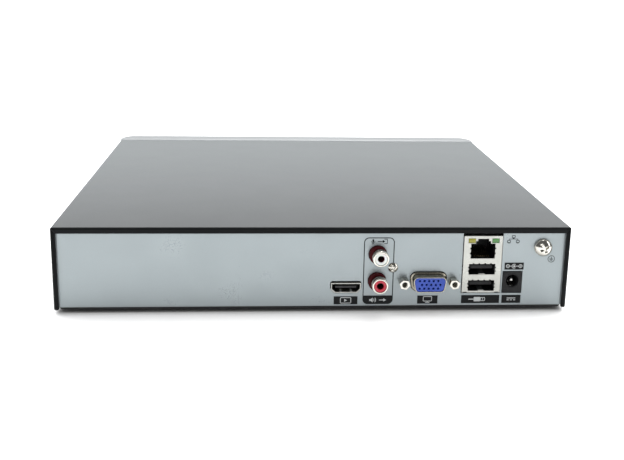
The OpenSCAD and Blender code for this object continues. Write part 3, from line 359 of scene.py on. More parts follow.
def shading_group():
    """Smooth shading that keeps sharp edges, in place of the imported normals."""
    group = bpy.data.node_groups.new("smooth_by_angle", "GeometryNodeTree")
    group.interface.new_socket("Geometry", in_out="INPUT", socket_type="NodeSocketGeometry")
    group.interface.new_socket("Geometry", in_out="OUTPUT", socket_type="NodeSocketGeometry")
    nodes, links = group.nodes, group.links
    start, end = nodes.new("NodeGroupInput"), nodes.new("NodeGroupOutput")
    drop = nodes.new("GeometryNodeRemoveAttribute")
    drop.inputs["Name"].default_value = "custom_normal"
    faces = nodes.new("GeometryNodeSetShadeSmooth")
    edges = nodes.new("GeometryNodeSetShadeSmooth")
    edges.domain = "EDGE"
    edges.inputs["Shade Smooth"].default_value = False
    angle = nodes.new("GeometryNodeInputMeshEdgeAngle")
    sharp = nodes.new("FunctionNodeCompare")
    sharp.inputs[1].default_value = SHARP
    links.new(angle.outputs[0], sharp.inputs[0])
    links.new(sharp.outputs[0], edges.inputs["Selection"])
    chain = [start, drop, faces, edges, end]
    for one, two in zip(chain, chain[1:]):
        links.new(one.outputs[0], two.inputs[0])
    return group


SHADING = shading_group()


def weld(obj):
    obj.modifiers.new("weld", "WELD").merge_threshold = SAME_PLACE


def soften(obj, width, merge=True):
    """Rounds an object's sharp edges with modifiers only, after merging a CAD mesh's triangles."""
    if merge and width:
        weld(obj)
        flat = obj.modifiers.new("flat", "DECIMATE")
        flat.decimate_type = "DISSOLVE"
        flat.angle_limit = FLAT
    if width:
        round_off = obj.modifiers.new("edges", "BEVEL")
        round_off.width = width * MM
        round_off.segments = 2
        round_off.limit_method = "ANGLE"
        round_off.angle_limit = ROUNDED
        round_off.miter_outer = "MITER_ARC"
        round_off.harden_normals = False
    obj.modifiers.new("shading", "NODES").node_group = SHADING


# The CAD nodes of each finish and edge width
CAD_FINISH = {
    ("pan", 0): "chassis",
    ("panel", 0): "rear_panel",
    ("cover", 0.18): "top_cover",
    ("nickel", 0.12): "cover_screws bezel_screws board_screws audio_barrels audio_screw ground_washer",
    ("bezel", 0.3): "front_bezel",
    ("window", 0.15): "front_window ir_receiver",
    ("guide", 0.1): "light_pipes",
    ("board", 0): "front_board",
    ("led", 0.2): "status_leds",
    ("ribbon", 0): "front_cable",
    ("rubber", 0.15): "rubber_feet",
    ("print", 0): "panel_labels",
    ("board", 0.05): "main_board",
    ("brass", 0.1): "board_standoffs",
    ("chip", 0.12): "processor small_chips",
    ("anodised", 0.12): "heatsink",
    ("chip", 0.1): "memory_chips",
    ("ferrite", 0.2): "inductors",
    ("can", 0.2): "capacitors",
    ("black", 0.2): "cell_holder monitor_block",
    ("cell", 0.2): "clock_cell",
    ("black", 0.3): "buzzer",
    ("white", 0.15): "board_headers",
    ("cage", 0): "video_shell socket_cage",
    ("black", 0.1): "video_tongue",
    ("dark_red", 0.2): "audio_block",
    ("white", 0.22): "audio_in_ring",
    ("red", 0.22): "audio_out_ring",
    ("shell", 0.12): "monitor_shell",
    ("blue", 0.1): "monitor_insert",
    ("nickel", 0.2): "jackscrews ground_nut drive_magnets",
    ("black", 0): "socket_core",
    ("dull_gold", 0.04): "lan_contacts",
    ("yellow_lens", 0.15): "lan_led_yellow",
    ("green_lens", 0.15): "lan_led_green",
    ("black", 0.12): "port_tongues",
    ("black", 0.25): "power_jack cable_plugs",
    ("tin", 0.1): "power_pin",
    ("nickel", 0.15): "ground_screw drive_screws",
    ("cast", 0.3): "drive_base",
    ("lid", 0.2): "drive_lid",
    ("disc", 0.08): "drive_platters",
    ("can", 0.12): "drive_arm",
    ("board", 0.1): "drive_board",
    ("rubber", 0.2): "drive_spacers",
    ("red_cable", 0): "data_cable",
    ("sleeve", 0): "power_cable",
}
ROUND_CABLES = ("data_cable", "power_cable")
for (key, width), names in CAD_FINISH.items():
    for node in names.split():
        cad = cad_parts[node]
        for place in cad.material_slots:
            place.material = FINISH[key]
        if node in ROUND_CABLES:
            weld(cad)
            smooth = cad.modifiers.new("round", "SUBSURF")
            smooth.levels = smooth.render_levels = 2
        soften(cad, width)


# ---------- mesh tools for the added pieces ----------

def into_scene(name, bm, material):
    """Turns a bmesh into an object of the scene."""
    mesh = bpy.data.meshes.new(name)
    bm.to_mesh(mesh)
    bm.free()
    mesh.materials.append(material)
    piece = bpy.data.objects.new(name, mesh)
    bpy.context.scene.collection.objects.link(piece)
    return piece


def circle(at, radius, steps, count=None):
    """Points round a circle in a plane: one turn of them, or as many as count says."""
    angles = [2 * math.pi * k / steps for k in range(count or steps)]
    return [(at[0] + radius * math.cos(a), at[1] + radius * math.sin(a)) for a in angles]


def arc_points(at, radius, start, end, steps):
    """Points along an arc in a plane, with its ends in degrees."""
    angles = [math.radians(start + (end - start) * k / steps) for k in range(steps + 1)]
    return [(at[0] + radius * math.cos(a), at[1] + radius * math.sin(a)) for a in angles]


class Shape:
    """Collects the solids of one piece, in millimetres, in a local frame.

    levels are the two heights of every flat mark that is drawn without heights of its own.
    """

    def __init__(self, place=PART, levels=None):
        self.bm = bmesh.new()
        self.place = place
        self.levels = levels

    def solid(self, rings, loop=False):
        """Joins rings of points, each with the same number of points."""
        made = [[self.bm.verts.new(p) for p in ring] for ring in rings]
        pairs = list(zip(made, made[1:])) + ([(made[-1], made[0])] if loop else [])
        count = len(made[0])
        for one, two in pairs:
            for i in range(count):
                k = (i + 1) % count
                self.bm.faces.new((one[i], one[k], two[k], two[i]))
        if not loop:
            self.bm.faces.new(made[0][::-1])
            self.bm.faces.new(made[-1])

    def plate(self, outline, *levels):
        """An outline in x and y, from one height to another."""
        self.solid([[(x, y, z) for x, y in outline] for z in levels or self.levels])

    def slab(self, middle, w, d, *levels):
        """A rectangle about a middle point, from one height to another."""
        (x, y), w, d = middle, w / 2, d / 2
        self.plate([(x - w, y - d), (x + w, y - d), (x + w, y + d), (x - w, y + d)], *levels)

    def bar(self, one, two, width, *levels):
        """A straight stroke between two points of the plane."""
        one, two = Vector(one), Vector(two)
        across = (two - one).normalized().orthogonal() * (width / 2)
        self.plate([one + across, one - across, two - across, two + across], *levels)

    def stroke(self, points, width, *levels):
        for one, two in zip(points, points[1:]):
            self.bar(one, two, width, *levels)

    def border(self, outline, width, *levels):
        """A stroke all the way round an outline."""
        self.stroke(outline + outline[:1], width, *levels)

    def turned(self, profile, at, steps=48):
        """A profile of (radius, height) pairs turned about the local z axis.

        It gives a closed ring if the profile starts off the axis.
        """
        hollow = profile[0][0] > 0 and profile[-1][0] > 0
        self.solid([[(x, y, at[2] + height) for x, y in circle(at, max(radius, 0.001), steps)]
                    for radius, height in profile], loop=hollow)

    def disc(self, at, radius, steps, *levels):
        low, high = levels or self.levels
        self.turned([(0, low), (radius, low), (radius, high), (0, high)], (*at, 0), steps)

    def band(self, at, inner, outer, *levels, steps=48):
        """A flat ring."""
        low, high = levels or self.levels
        self.turned([(inner, low), (outer, low), (outer, high), (inner, high)], (*at, 0), steps)

    def arc(self, at, radius, start, end, width, *levels, steps=10):
        """A curved stroke in the plane."""
        outer, inner = [arc_points(at, radius + side * width / 2, start, end, steps) for side in (1, -1)]
        self.plate(outer + inner[::-1], *levels)

    def tube(self, path, radius, sides):
        """A round wire along a path of points."""
        path = [Vector(p) for p in path]
        rings = []
        last = None
        for i, point in enumerate(path):
            ahead = path[min(i + 1, len(path) - 1)]
            behind = path[max(i - 1, 0)]
            heading = (ahead - behind).normalized()
            side = heading.orthogonal() if last is None else last - heading * last.dot(heading)
            side.normalize()
            last = side
            up = heading.cross(side)
            rings.append([point + side * x + up * y for x, y in circle((0, 0), radius, sides)])
        self.solid(rings)

    def leaf(self, at, half, thick, path, up=1, run=2):
        """A bent strip from a point: (run, rise) pairs along two axes, half its width along the third."""
        side = 3 - up - run
        rings = []
        for forth, rise in path:
            ring = []
            for across, lift in ((-half, 0), (half, 0), (half, thick), (-half, thick)):
                point = list(at)
                point[side] += across
                point[up] += rise + lift
                point[run] += forth
                ring.append(point)
            rings.append(ring)
        self.solid(rings)

    def done(self, name, key, slot, edge=0.0, body="case"):
        """Makes the piece and rides it on its body."""
        bmesh.ops.recalc_face_normals(self.bm, faces=self.bm.faces)
        bmesh.ops.transform(self.bm, matrix=Matrix.Scale(MM, 4) @ self.place, verts=self.bm.verts)
        piece = into_scene(name, self.bm, FINISH[key])
        soften(piece, edge, merge=False)
        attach(piece, body)


def round_outline(at, w, h, r, steps=5):
    """Points of a rectangle with round corners."""
    points = []
    for turn, (sx, sy) in zip((0, 90, 180, 270), ((1, 1), (-1, 1), (-1, -1), (1, -1))):
        corner = (at[0] + sx * (w / 2 - r), at[1] + sy * (h / 2 - r))
        points += arc_points(corner, r, turn, turn + 90, steps)
    return points


def helix(at, radius, start, end, pitch, steps=24):
    """Points of a screw thread about the local z axis."""
    count = int(abs(end - start) / pitch * steps)
    return [(x, y, start + (end - start) * k / count)
            for k, (x, y) in enumerate(circle(at, radius, steps, count + 1))]


# ---------- prints on the rear panel ----------

LABEL_TOP = Y_PANEL - box("panel_labels")[0].y
INK = 0.03  # thickness of the light ink on the labels
labels = solids("panel_labels")


def label_under(node):
    """Middle of the label box nearest below a socket, in the panel's plane."""
    x = centre(node).x
    # The labels under the sockets end less than 8 mm above the case's bottom
    lowest = [pair for pair in labels if pair[0].z - Z_CASE < 7 and pair[1].z - Z_CASE < 8]
    return Vector(seen_from_behind(*min(lowest, key=lambda pair: abs((pair[0].x + pair[1].x) / 2 - x))))


def light_prints():
    """Plain pictograms on the dark labels: screen, loudspeaker, display, plug, current and polarity."""
    ink = Shape(PANEL, (LABEL_TOP - 0.02, LABEL_TOP + INK))
    x, y = label_under("video_shell")
    ink.border(round_outline((x, y), 5.2, 2.9, 0.4), 0.35)
    ink.plate([(x - 0.7, y + 0.75), (x - 0.7, y - 0.75), (x + 0.8, y)])
    x, y = centre("audio_out_ring").x - 2.6, 4.0
    ink.slab((x - 1.3, y), 0.8, 1)
    ink.plate([(x - 0.9, y + 0.5), (x - 0.9, y - 0.5), (x, y - 1.25), (x, y + 1.25)])
    for r in (0.9, 1.7):
        ink.arc((x - 0.2, y), r, -42, 42, 0.32)
    ink.bar((x + 3.2, y), (x + 5.4, y), 0.4)
    ink.plate([(x + 5.4, y + 0.85), (x + 5.4, y - 0.85), (x + 6.8, y)])
    x, y = label_under("monitor_shell")
    ink.border(round_outline((x, y + 0.45), 4.2, 2.4, 0.3), 0.35)
    ink.slab((x, y - 1), 0.6, 0.6)
    ink.slab((x, y - 1.425), 2.2, 0.35)
    x, y = label_under("socket_cage")
    ink.plate(round_outline((x - 1.6, y), 3.4, 2.3, 0.3))
    ink.border(round_outline((x + 1.2, y), 2.2, 1.7, 0.15), 0.3)
    for side in (-0.4, 0.4):
        ink.slab((x + 1.2, y + side), 0.6, 0.3)
    ink.bar((x - 3.3, y), (x - 6.0, y), 0.45)
    x, y = label_under("power_jack")
    ink.bar((x - 2.2, y + 0.5), (x + 2.2, y + 0.5), 0.4)
    for k in (-1, 0, 1):
        ink.bar((x + k * 1.65 - 0.55, y - 0.5), (x + k * 1.65 + 0.55, y - 0.5), 0.4)
    # The polarity box is the only label whose lower edge is at this height
    x, y = seen_from_behind(*[pair for pair in labels if 18 < pair[0].z - Z_CASE < 22][0])
    ink.disc((x, y), 0.5, 20)
    ink.arc((x, y), 1.05, 50, 310, 0.3, steps=20)
    for side, reach in ((-1, 1.05), (1, 0.5)):
        ink.bar((x + side * reach, y), (x + side * 2.3, y), 0.28)
        ink.band((x + side * 3.2, y), 0.68, 0.95, steps=24)
        ink.bar((x + side * 3.2 - 0.45, y), (x + side * 3.2 + 0.45, y), 0.26)
    ink.bar((x + 3.2, y - 0.45), (x + 3.2, y + 0.45), 0.26)
    ink.done("label_pictograms", "light_print", "white_plastic")


def dark_prints():
    """Plain pictograms straight on the panel: microphone, linked nodes and protective earth."""
    ink = Shape(PANEL, (-0.02, LABEL_TOP))
    x, y = centre("audio_in_ring").x, 34.3
    ink.plate(round_outline((x - 3.2, y + 0.6), 0.9, 1.6, 0.43))
    ink.arc((x - 3.2, y + 0.45), 0.9, 180, 360, 0.26, steps=12)
    ink.bar((x - 3.2, y - 0.4), (x - 3.2, y - 1), 0.28)
    ink.bar((x - 3.9, y - 1), (x - 2.5, y - 1), 0.28)
    ink.bar((x - 0.9, y + 0.25), (x + 1.5, y + 0.25), 0.34)
    ink.plate([(x + 1.5, y + 1.05), (x + 1.5, y - 0.55), (x + 2.8, y + 0.25)])
    ink.stroke([(x + 2.3, y + 1.4), (x + 3.8, y + 1.4), (x + 3.8, y - 0.9), (x + 2.3, y - 0.9)], 0.3)
    x, y = 98.6, 35.7
    for nx, ny in ((x, y + 1.25), (x - 2.2, y - 1.25), (x + 2.2, y - 1.25)):
        ink.border(round_outline((nx, ny), 1.5, 1.15, 0.12, 2), 0.28)
        ink.bar((nx - 0.5, ny - 0.85), (nx + 0.5, ny - 0.85), 0.22)
    ink.bar((x - 2.2, y), (x + 2.2, y), 0.26)
    ink.bar((x, y), (x, y + 0.5), 0.26)
    for nx in (x - 2.2, x + 2.2):
        ink.bar((nx, y), (nx, y - 0.6), 0.26)
    # The earth's circle is the only print so far to the right
    x, y = seen_from_behind(*[pair for pair in labels if pair[0].x > 110][0])
    ink.bar((x, y + 1.2), (x, y), 0.26)
    for half, drop in ((1.05, 0.0), (0.7, 0.45), (0.32, 0.9)):
        ink.bar((x - half, y - drop), (x + half, y - drop), 0.24)
    ink.done("panel_pictograms", "print", "panel_print")


light_prints()
dark_prints()


# ---------- rear sockets ----------

def video_details():
    x, y = on_panel("video_shell")
    contacts = Shape(PANEL)
    for count, rise in ((10, 0.83), (9, -0.43)):
        for k in range(count):
            contacts.slab((x + k - (count - 1) / 2, y + rise), 0.34, 0.1, -9, -1.75)
    contacts.done("video_contacts", "dull_gold", "brass", 0.03)
    springs = Shape(PANEL)
    for side in (-1, 1):
        leaf = ((-0.35, 0.12), (-1.2, 0.24), (-2.6, 0.32), (-4.2, 0.24), (-6, 0.05))
        springs.leaf((x + side * 2.6, y - 2.1, 0), 0.42, 0.15, leaf)
        springs.slab((x + side * 3.4, y + 1.95), 1, 0.2, -6, -1.2)
    # Painted light: the tin springs take the light grey ink's plain matt colour in place of tin, standing in
    # for the bright reflection on them.
    springs.done("video_springs", "light_print", "tin_plate", 0.06)
    lip = Shape(PANEL)
    lip.slab((x, y + 0.2), 10.4, 0.9, -1.4, -1.1)
    lip.done("video_tongue_lip", "chip", "black_plastic", 0.1)


def audio_details():
    liners = Shape(PANEL)
    for node in ("audio_in_ring", "audio_out_ring"):
        x, y = on_panel(node)
        reach = Y_PANEL - box(node)[0].y
        liners.band((x, y), 1.52, 1.69, -11, reach - 0.7)
        liners.disc((x, y), 1.6, 48, -11.4, -10.9)
    liners.done("audio_socket_liners", "dark_red", "dark_red_plastic")


def monitor_details():
    x, y = on_panel("monitor_insert")
    pitch, rows = 2.29, (1.98, 0, -1.98)
    sleeves = Shape(PANEL)
    for row, rise in enumerate(rows):
        shift = 0.25 if row == 1 else -0.25
        for k in range(-2, 3):
            at = (x + (k + shift) * pitch, y + rise)
            sleeves.band(at, 0.3, 0.5, -2.9, -0.6, steps=16)
    sleeves.done("monitor_contact_sleeves", "brass", "brass")
    dimples = Shape(PANEL)
    for rise, xs in ((3.92, (-4.6, 0, 4.6)), (-3.92, (-3.4, 3.4))):
        way = 1 if rise > 0 else -1
        for across in xs:
            for k, r in enumerate((0.62, 0.45, 0.2)):
                dimples.solid([[(px, y + rise + way * 0.06 * lift, pz)
                                for px, pz in circle((x + across, 3.2), r, 20)] for lift in (k, k + 1)])
    dimples.done("monitor_shell_dimples", "nickel", "nickel_plate")
    threads = Shape(PANEL)
    for low, high in solids("jackscrews"):
        threads.tube(helix(seen_from_behind(low, high), 1.4, -0.5, 4.9, 0.64), 0.16, 6)
    threads.done("jackscrew_threads", "nickel", "nickel_plate")


def cage_details():
    low, high = box("socket_cage")
    middle = (low.x + high.x) / 2
    front = Y_PANEL - low.y
    springs, fingers, tabs = Shape(PANEL), Shape(PANEL), Shape(PANEL)
    bulge = ((0, 0.0), (-2, 0.25), (-4.5, 0.75), (-6.5, 0.9), (-8.5, 0.5), (-10.5, 0.1))
    side_bulge = ((0, 0), (-2, 0.15), (-4.5, 0.45), (-6.5, 0.3), (-8, 0.05))
    for tongue_low, tongue_high in solids("port_tongues"):
        port_y = (tongue_low.z + tongue_high.z) / 2 - Z_CASE - 0.9
        for way, wide, xs in ((1, 2.6, (0,)), (-1, 1.3, (-3.6, 3.6))):
            for across in xs:
                springs.leaf((middle + across, port_y - way * 2.72, front - 0.35), wide / 2, way * 0.18,
                             [(z, way * rise) for z, rise in bulge])
        tabs.slab((middle, port_y - 2.525), 3, 0.45, front - 0.6, front - 0.12)
        for side in (-1, 1):
            springs.leaf((middle + side * 6.6, port_y, front - 0.4), 0.8, -side * 0.16,
                         [(z, -side * rise) for z, rise in side_bulge], up=0)
        for k in range(4):
            at = (middle + (k - 1.5) * 2.25, tongue_low.z - Z_CASE - 0.035)
            fingers.slab(at, 1, 0.11, -12.5, -1.3)
    # Painted shade: the tin springs take the dark anodised finish, so they read as shaded inside the ports.
    springs.done("port_springs", "anodised", "tin_plate", 0.05)
    tabs.done("port_tabs", "cage", "tin_plate", 0.05)
    fingers.done("port_contacts", "brass", "brass", 0.03)


def power_details():
    x, y = on_panel("power_pin")
    face = Y_PANEL - box("power_jack")[0].y
    lip = Shape(PANEL)
    lip.turned([(3.14, face - 0.6), (3.32, face + 0.06), (3.55, face + 0.16), (3.85, face + 0.12),
                (4.0, face - 0.05), (3.9, face - 0.6)], (x, y, 0), 64)
    lip.done("power_jack_lip", "black", "black_plastic")
    spring = Shape(PANEL)
    spring.leaf((x, y - 3.1, 0), 0.9, 0.2, ((-1.2, 0.0), (-3, 0.2), (-5, 0.6), (-7, 0.3), (-9, 0.0)))
    spring.done("power_jack_leaf", "tin", "tin_plate", 0.05)


def ground_details():
    x, y = on_panel("ground_screw")
    tip = Y_PANEL - box("ground_screw")[1].y
    thread = Shape(PANEL)
    thread.tube(helix((x, y), 1.93, tip + 0.3, -0.2, 0.7), 0.13, 6)
    thread.done("ground_screw_thread", "nickel", "nickel_plate", body="screw")


video_details()
audio_details()
monitor_details()
cage_details()
power_details()
ground_details()


# ---------- main board ----------

ON_BOARD = ("processor", "heatsink", "memory_chips", "small_chips", "inductors", "capacitors", "cell_holder",
            "buzzer", "board_headers", "board_screws", "video_shell", "audio_block", "monitor_block",
            "socket_cage", "power_jack")
KEEP_OFF = {"small_chips": 1.5, "audio_block": 1.0}
BOARD_LOW, BOARD_HIGH = box("main_board")
BOARD_EDGE = 1.5  # bare margin of the board
PART_GAP = 0.6  # room round a part
taken = []
for node in ON_BOARD:
    gap = KEEP_OFF.get(node, PART_GAP)
    for low, high in solids(node):
        taken.append((low.x - gap, low.y - gap, high.x + gap, high.y + gap))


def take(x, y, w, d, gap):
    """Keeps a place on the board for a part, with a gap round it."""
    taken.append((x - w / 2 - gap, y - d / 2 - gap, x + w / 2 + gap, y + d / 2 + gap))


def is_free(x, y, w, d):
    """Whether a part of this size fits on the board at this place."""
    for at, size, low, high in zip((x, y), (w, d), BOARD_LOW, BOARD_HIGH):
        if not low + BOARD_EDGE < at - size / 2 < at + size / 2 < high - BOARD_EDGE:
            return False
    return all(x + w / 2 < a or x - w / 2 > c or y + d / 2 < b or y - d / 2 > e for a, b, c, e in taken)


def free_spot(near, w, d):
    """The free place nearest to a point, then taken for a part of this size."""
    spots = [(i, k) for i in range(int(BOARD_LOW.x), int(BOARD_HIGH.x))
             for k in range(int(BOARD_LOW.y), int(BOARD_HIGH.y)) if is_free(i, k, w, d)]
    x, y = min(spots, key=lambda spot: (spot[0] - near[0]) ** 2 + (spot[1] - near[1]) ** 2)
    take(x, y, w, d, PART_GAP)
    return x, y


def chip_leads():
    """Bent leads along the two longer sides of each small chip."""
    shape = Shape()
    pitch, thick = 1.27, 0.07
    for low, high in solids("small_chips"):
        along, across = (1, 0) if high.y - low.y >= high.x - low.x else (0, 1)
        count = int((high[along] - low[along] - 0.6) / pitch)
        middle = (low[along] + high[along]) / 2
        shoulder = low.z + min(0.55 * (high.z - low.z), 1.2)
        bend = ((-0.1, shoulder), (0.35, shoulder), (0.6, low.z + 0.16), (1.15, low.z + 0.1))
        for way, edge in ((-1, low[across]), (1, high[across])):
            for k in range(count):
                at = [0, 0, -thick]
                at[across] = edge
                at[along] = middle + (k - (count - 1) / 2) * pitch
                shape.leaf(at, 0.2, 2 * thick, [(way * out, z) for out, z in bend], up=2, run=across)
    shape.done("chip_leads", "solder", "tin_plate")


def chip_marks():
    """First-pin dots and plain bars on the chips."""
    marks = Shape()
    for node in ("memory_chips", "small_chips"):
        for low, high in solids(node):
            marks.levels = (high.z - 0.01, high.z + 0.012)
            marks.disc((low.x + 0.8, low.y + 0.8), 0.3, 16)
            x, y = seen_from_above(low, high)
            step = min(1.2, (high.y - low.y) * 0.17)
            for row, share in ((1, 0.6), (0, 0.45), (-1, 0.52)):
                marks.slab((x, y + row * step), share * (high.x - low.x), 0.3)
    marks.done("chip_marks", "grey_ink", "white_plastic")


def silkscreen():
    """White outlines round the parts on the board."""
    ink = Shape(levels=(Z_BOARD - 0.01, Z_BOARD + 0.02))
    for node, gap in (("small_chips", 1.35), ("memory_chips", 0.5), ("board_headers", 0.5)):
        for low, high in solids(node):
            w, d = high.x - low.x + 2 * gap, high.y - low.y + 2 * gap
            ink.border(round_outline(seen_from_above(low, high), w, d, 0.1, 1), 0.16)
    for node in ("capacitors", "inductors", "buzzer", "cell_holder"):
        for low, high in solids(node):
            r = (high.x - low.x) / 2 + 0.35
            ink.band(seen_from_above(low, high), r, r + 0.16)
    ink.done("board_print", "light_print", "white_plastic")


def crystals():
    cans = Shape()
    for near in ((32, -96), (56, -34)):
        x, y = free_spot(near, 11.5, 5.2)
        cans.plate(round_outline((x, y), 11.3, 4.9, 2.4, 10), Z_BOARD, Z_BOARD + 0.45)
        cans.plate(round_outline((x, y), 10.4, 4.1, 2.0, 10), Z_BOARD + 0.4, Z_BOARD + 3.5)
    cans.done("crystal_cans", "can", "can_metal", 0.25)


def pin_row():
    x, y = free_spot((56, -20), 13, 2.7)
    base, pins = Shape(), Shape()
    for k in range(5):
        at = x + (k - 2) * 2.54
        base.plate(round_outline((at, y), 2.5, 2.5, 0.4, 2), Z_BOARD, Z_BOARD + 2.5)
        pins.plate(round_outline((at, y), 0.64, 0.64, 0.1, 1), Z_BOARD + 0.5, Z_BOARD + 8.2)
    base.done("pin_row_base", "black", "black_plastic", 0.1)
    pins.done("pin_row_pins", "brass", "brass", 0.05)


# Length, width and height of the small parts, how many places are tried and the raster that they stand on
SMALL_SIZES = ((1.6, 0.8, 0.55), (1.6, 0.8, 0.45), (2.0, 1.25, 0.8), (1.0, 0.5, 0.35))
TRIES = 1500
RASTER = 0.8


def small_parts():
    """Resistors and capacitors in the free parts of the board, each with soldered ends."""
    bodies = {"ceramic": Shape(), "chip": Shape()}
    ends = Shape()
    for _ in range(TRIES):
        size, width, tall = random.choice(SMALL_SIZES)
        x = round(random.uniform(BOARD_LOW.x, BOARD_HIGH.x) / RASTER) * RASTER
        y = round(random.uniform(BOARD_LOW.y, BOARD_HIGH.y) / RASTER) * RASTER
        upright = random.random() < 0.5
        w, d = (width, size) if upright else (size, width)
        if not is_free(x, y, w + 0.5, d + 0.5):
            continue
        take(x, y, w, d, PART_GAP / 2)
        kind = "ceramic" if random.random() < 0.6 else "chip"
        inner = (w, d * 0.56) if upright else (w * 0.56, d)
        bodies[kind].slab((x, y), *inner, Z_BOARD + 0.04, Z_BOARD + tall)
        end = (w + 0.04, d * 0.22) if upright else (w * 0.22, d + 0.04)
        for way in (-0.39, 0.39):
            middle = (x, y + way * d) if upright else (x + way * w, y)
            ends.slab(middle, *end, Z_BOARD, Z_BOARD + tall + 0.02)
    bodies["ceramic"].done("ceramic_capacitors", "ceramic", "can_metal", 0.06)
    bodies["chip"].done("chip_resistors", "chip", "chip_epoxy", 0.06)
    ends.done("soldered_ends", "solder", "tin_plate", 0.05)


def coil_windings():
    """Copper wire round each inductor."""
    wire = Shape()
    for low, high in solids("inductors"):
        radius = (high.x - low.x) / 2 - 0.26
        turns = helix(seen_from_above(low, high), radius, Z_BOARD + 1.05, Z_BOARD + 3.9, 0.36, 32)
        wire.tube(turns, 0.17, 6)
    wire.done("inductor_windings", "copper", "brass")


def can_marks():
    """Polarity segments and scored crosses on the capacitors' tops."""
    segments, scores = Shape(), Shape()
    for low, high in solids("capacitors"):
        x, y = seen_from_above(low, high)
        r = (high.x - low.x) / 2 - 0.5
        bottom, top = high.z - 0.01, high.z + 0.03
        segments.plate(arc_points((x, y), r, -48, 48, 8), bottom, high.z + 0.015)
        scores.bar((x - r * 0.55, y), (x + r * 0.55, y), 0.14, bottom, top)
        scores.bar((x, y - r * 0.55), (x, y + r * 0.55), 0.14, bottom, top)
    segments.done("capacitor_polarity", "print", "panel_print")
    scores.done("capacitor_scores", "grey_ink", "can_metal")


def cell_details():
    low, high = box("clock_cell")
    (x, y), top = seen_from_above(low, high), high.z
    spring = Shape()
    for side in (-1, 1):
        leaf = ((-11.4, -1.6), (-11.2, 0.25), (-10, 0.6), (-7, 0.12), (-4.5, 0.0), (-3.4, 0.3))
        spring.leaf((x + side * 1.9, y, top), 1.1, 0.2, leaf, up=2, run=1)
    spring.done("cell_springs", "nickel", "nickel_plate", 0.06)
    mark = Shape(levels=(top - 0.01, top + 0.015))
    mark.bar((x - 1.6, y + 3), (x + 1.6, y + 3), 0.35)
    mark.bar((x, y + 1.4), (x, y + 4.6), 0.35)
    mark.band((x, y), 8.6, 8.8, top - 0.01, top + 0.02, steps=64)
    mark.done("cell_mark", "grey_ink", "cell_metal")


def buzzer_sticker():
    low, high = box("buzzer")
    sticker = Shape()
    sticker.band(seen_from_above(low, high), 1.7, 4.6, high.z - 0.01, high.z + 0.06)
    sticker.done("buzzer_sticker", "paper", "white_plastic")


def monitor_leads():
    """Leads from the back of the monitor socket down to the board."""
    leads = Shape()
    low, high = box("monitor_block")
    x = centre("monitor_insert").x
    for row in range(3):
        for k in range(5):
            at = x + (k - 2 + (0.25 if row == 1 else -0.25)) * 2.29
            back = high.y + 0.7 + row * 1.0
            z = low.z + 2.6 + row * 2.1
            path = [(high.y - 0.6, z), (back - 0.25, z), (back, z - 0.3), (back, Z_BOARD - 0.4)]
            leads.tube([(at, *point) for point in path], 0.26, 8)
    leads.done("monitor_socket_leads", "solder", "tin_plate")


chip_leads()
chip_marks()
silkscreen()
crystals()
pin_row()
small_parts()
coil_windings()
can_marks()
cell_details()
buzzer_sticker()
monitor_leads()


# ---------- drive and plugs ----------

def printed_label(name, place, middle, w, h, height):
    """A plain paper label with grey bars on it, in a local plane."""
    paper = Shape(place)
    paper.plate(round_outline(middle, w, h, 1.2), height, height + 0.08)
    paper.done(name, "paper", "white_plastic")
    bars = Shape(place, (height + 0.07, height + 0.095))
    x0, y0 = middle[0] - w / 2, middle[1] - h / 2
    for row in range(5):
        length = w * random.uniform(0.22, 0.5)
        bars.slab((x0 + w * 0.06 + length / 2, y0 + h * (0.86 - 0.1 * row)), length, h * 0.036)
    x = x0 + w * 0.08
    while x < x0 + w * 0.6:
        thick = random.choice((0.35, 0.35, 0.6, 0.9))
        bars.slab((x + thick / 2, y0 + h * 0.19), thick, h * 0.18)
        x += thick + random.choice((0.4, 0.7))
    bars.border(round_outline((x0 + w * 0.8, y0 + h * 0.62), w * 0.26, h * 0.44, 0.4, 2), 0.4)
    bars.done(name + "_bars", "grey_ink", "white_plastic")


def drive_details():
    low, high = box("drive_lid")
    plate_top = high.z - 0.5
    x, y = seen_from_above(low, high)
    w, d = high.x - low.x, high.y - low.y
    bead = Shape()
    rings = []
    for inset, z in ((5.2, -0.02), (5.5, 0.28), (6.3, 0.28), (6.6, -0.02)):
        outline = round_outline((x, y), w - 2 * inset, d - 2 * inset, 10 - inset / 2, 8)
        rings.append([(px, py, plate_top + z) for px, py in outline])
    bead.solid(rings, loop=True)
    bead.done("drive_lid_bead", "lid", "lid_metal", 0.1)
    printed_label("drive_label", PART, (x, low.y + 37), 66, 46, plate_top)


def plug_details():
    """Grip ribs on the two plugs at the drive, which are the low ones."""
    ribs = Shape()
    for low, high in solids("cable_plugs"):
        middle = (low + high) / 2
        if high.y > box("drive_base")[0].y - 3 and low.z < Z_BOARD + 4:
            for k in range(-2, 3):
                ribs.slab((middle.x + k * 2.4, low.y + 3.35), 0.7, 4.3, high.z - 0.02, high.z + 0.22)
    ribs.done("plug_ribs", "black", "black_plastic", 0.08)


drive_details()
plug_details()


# ---------- front and underside ----------

Y_FRONT = box("front_bezel")[1].y
FRONT = Matrix(((-1, 0, 0, 0), (0, 0, 1, Y_FRONT), (0, 1, 0, Z_CASE), (0, 0, 0, 1)))
UNDER = Matrix(((-1, 0, 0, 0), (0, 1, 0, 0), (0, 0, -1, Z_CASE), (0, 0, 0, 1)))


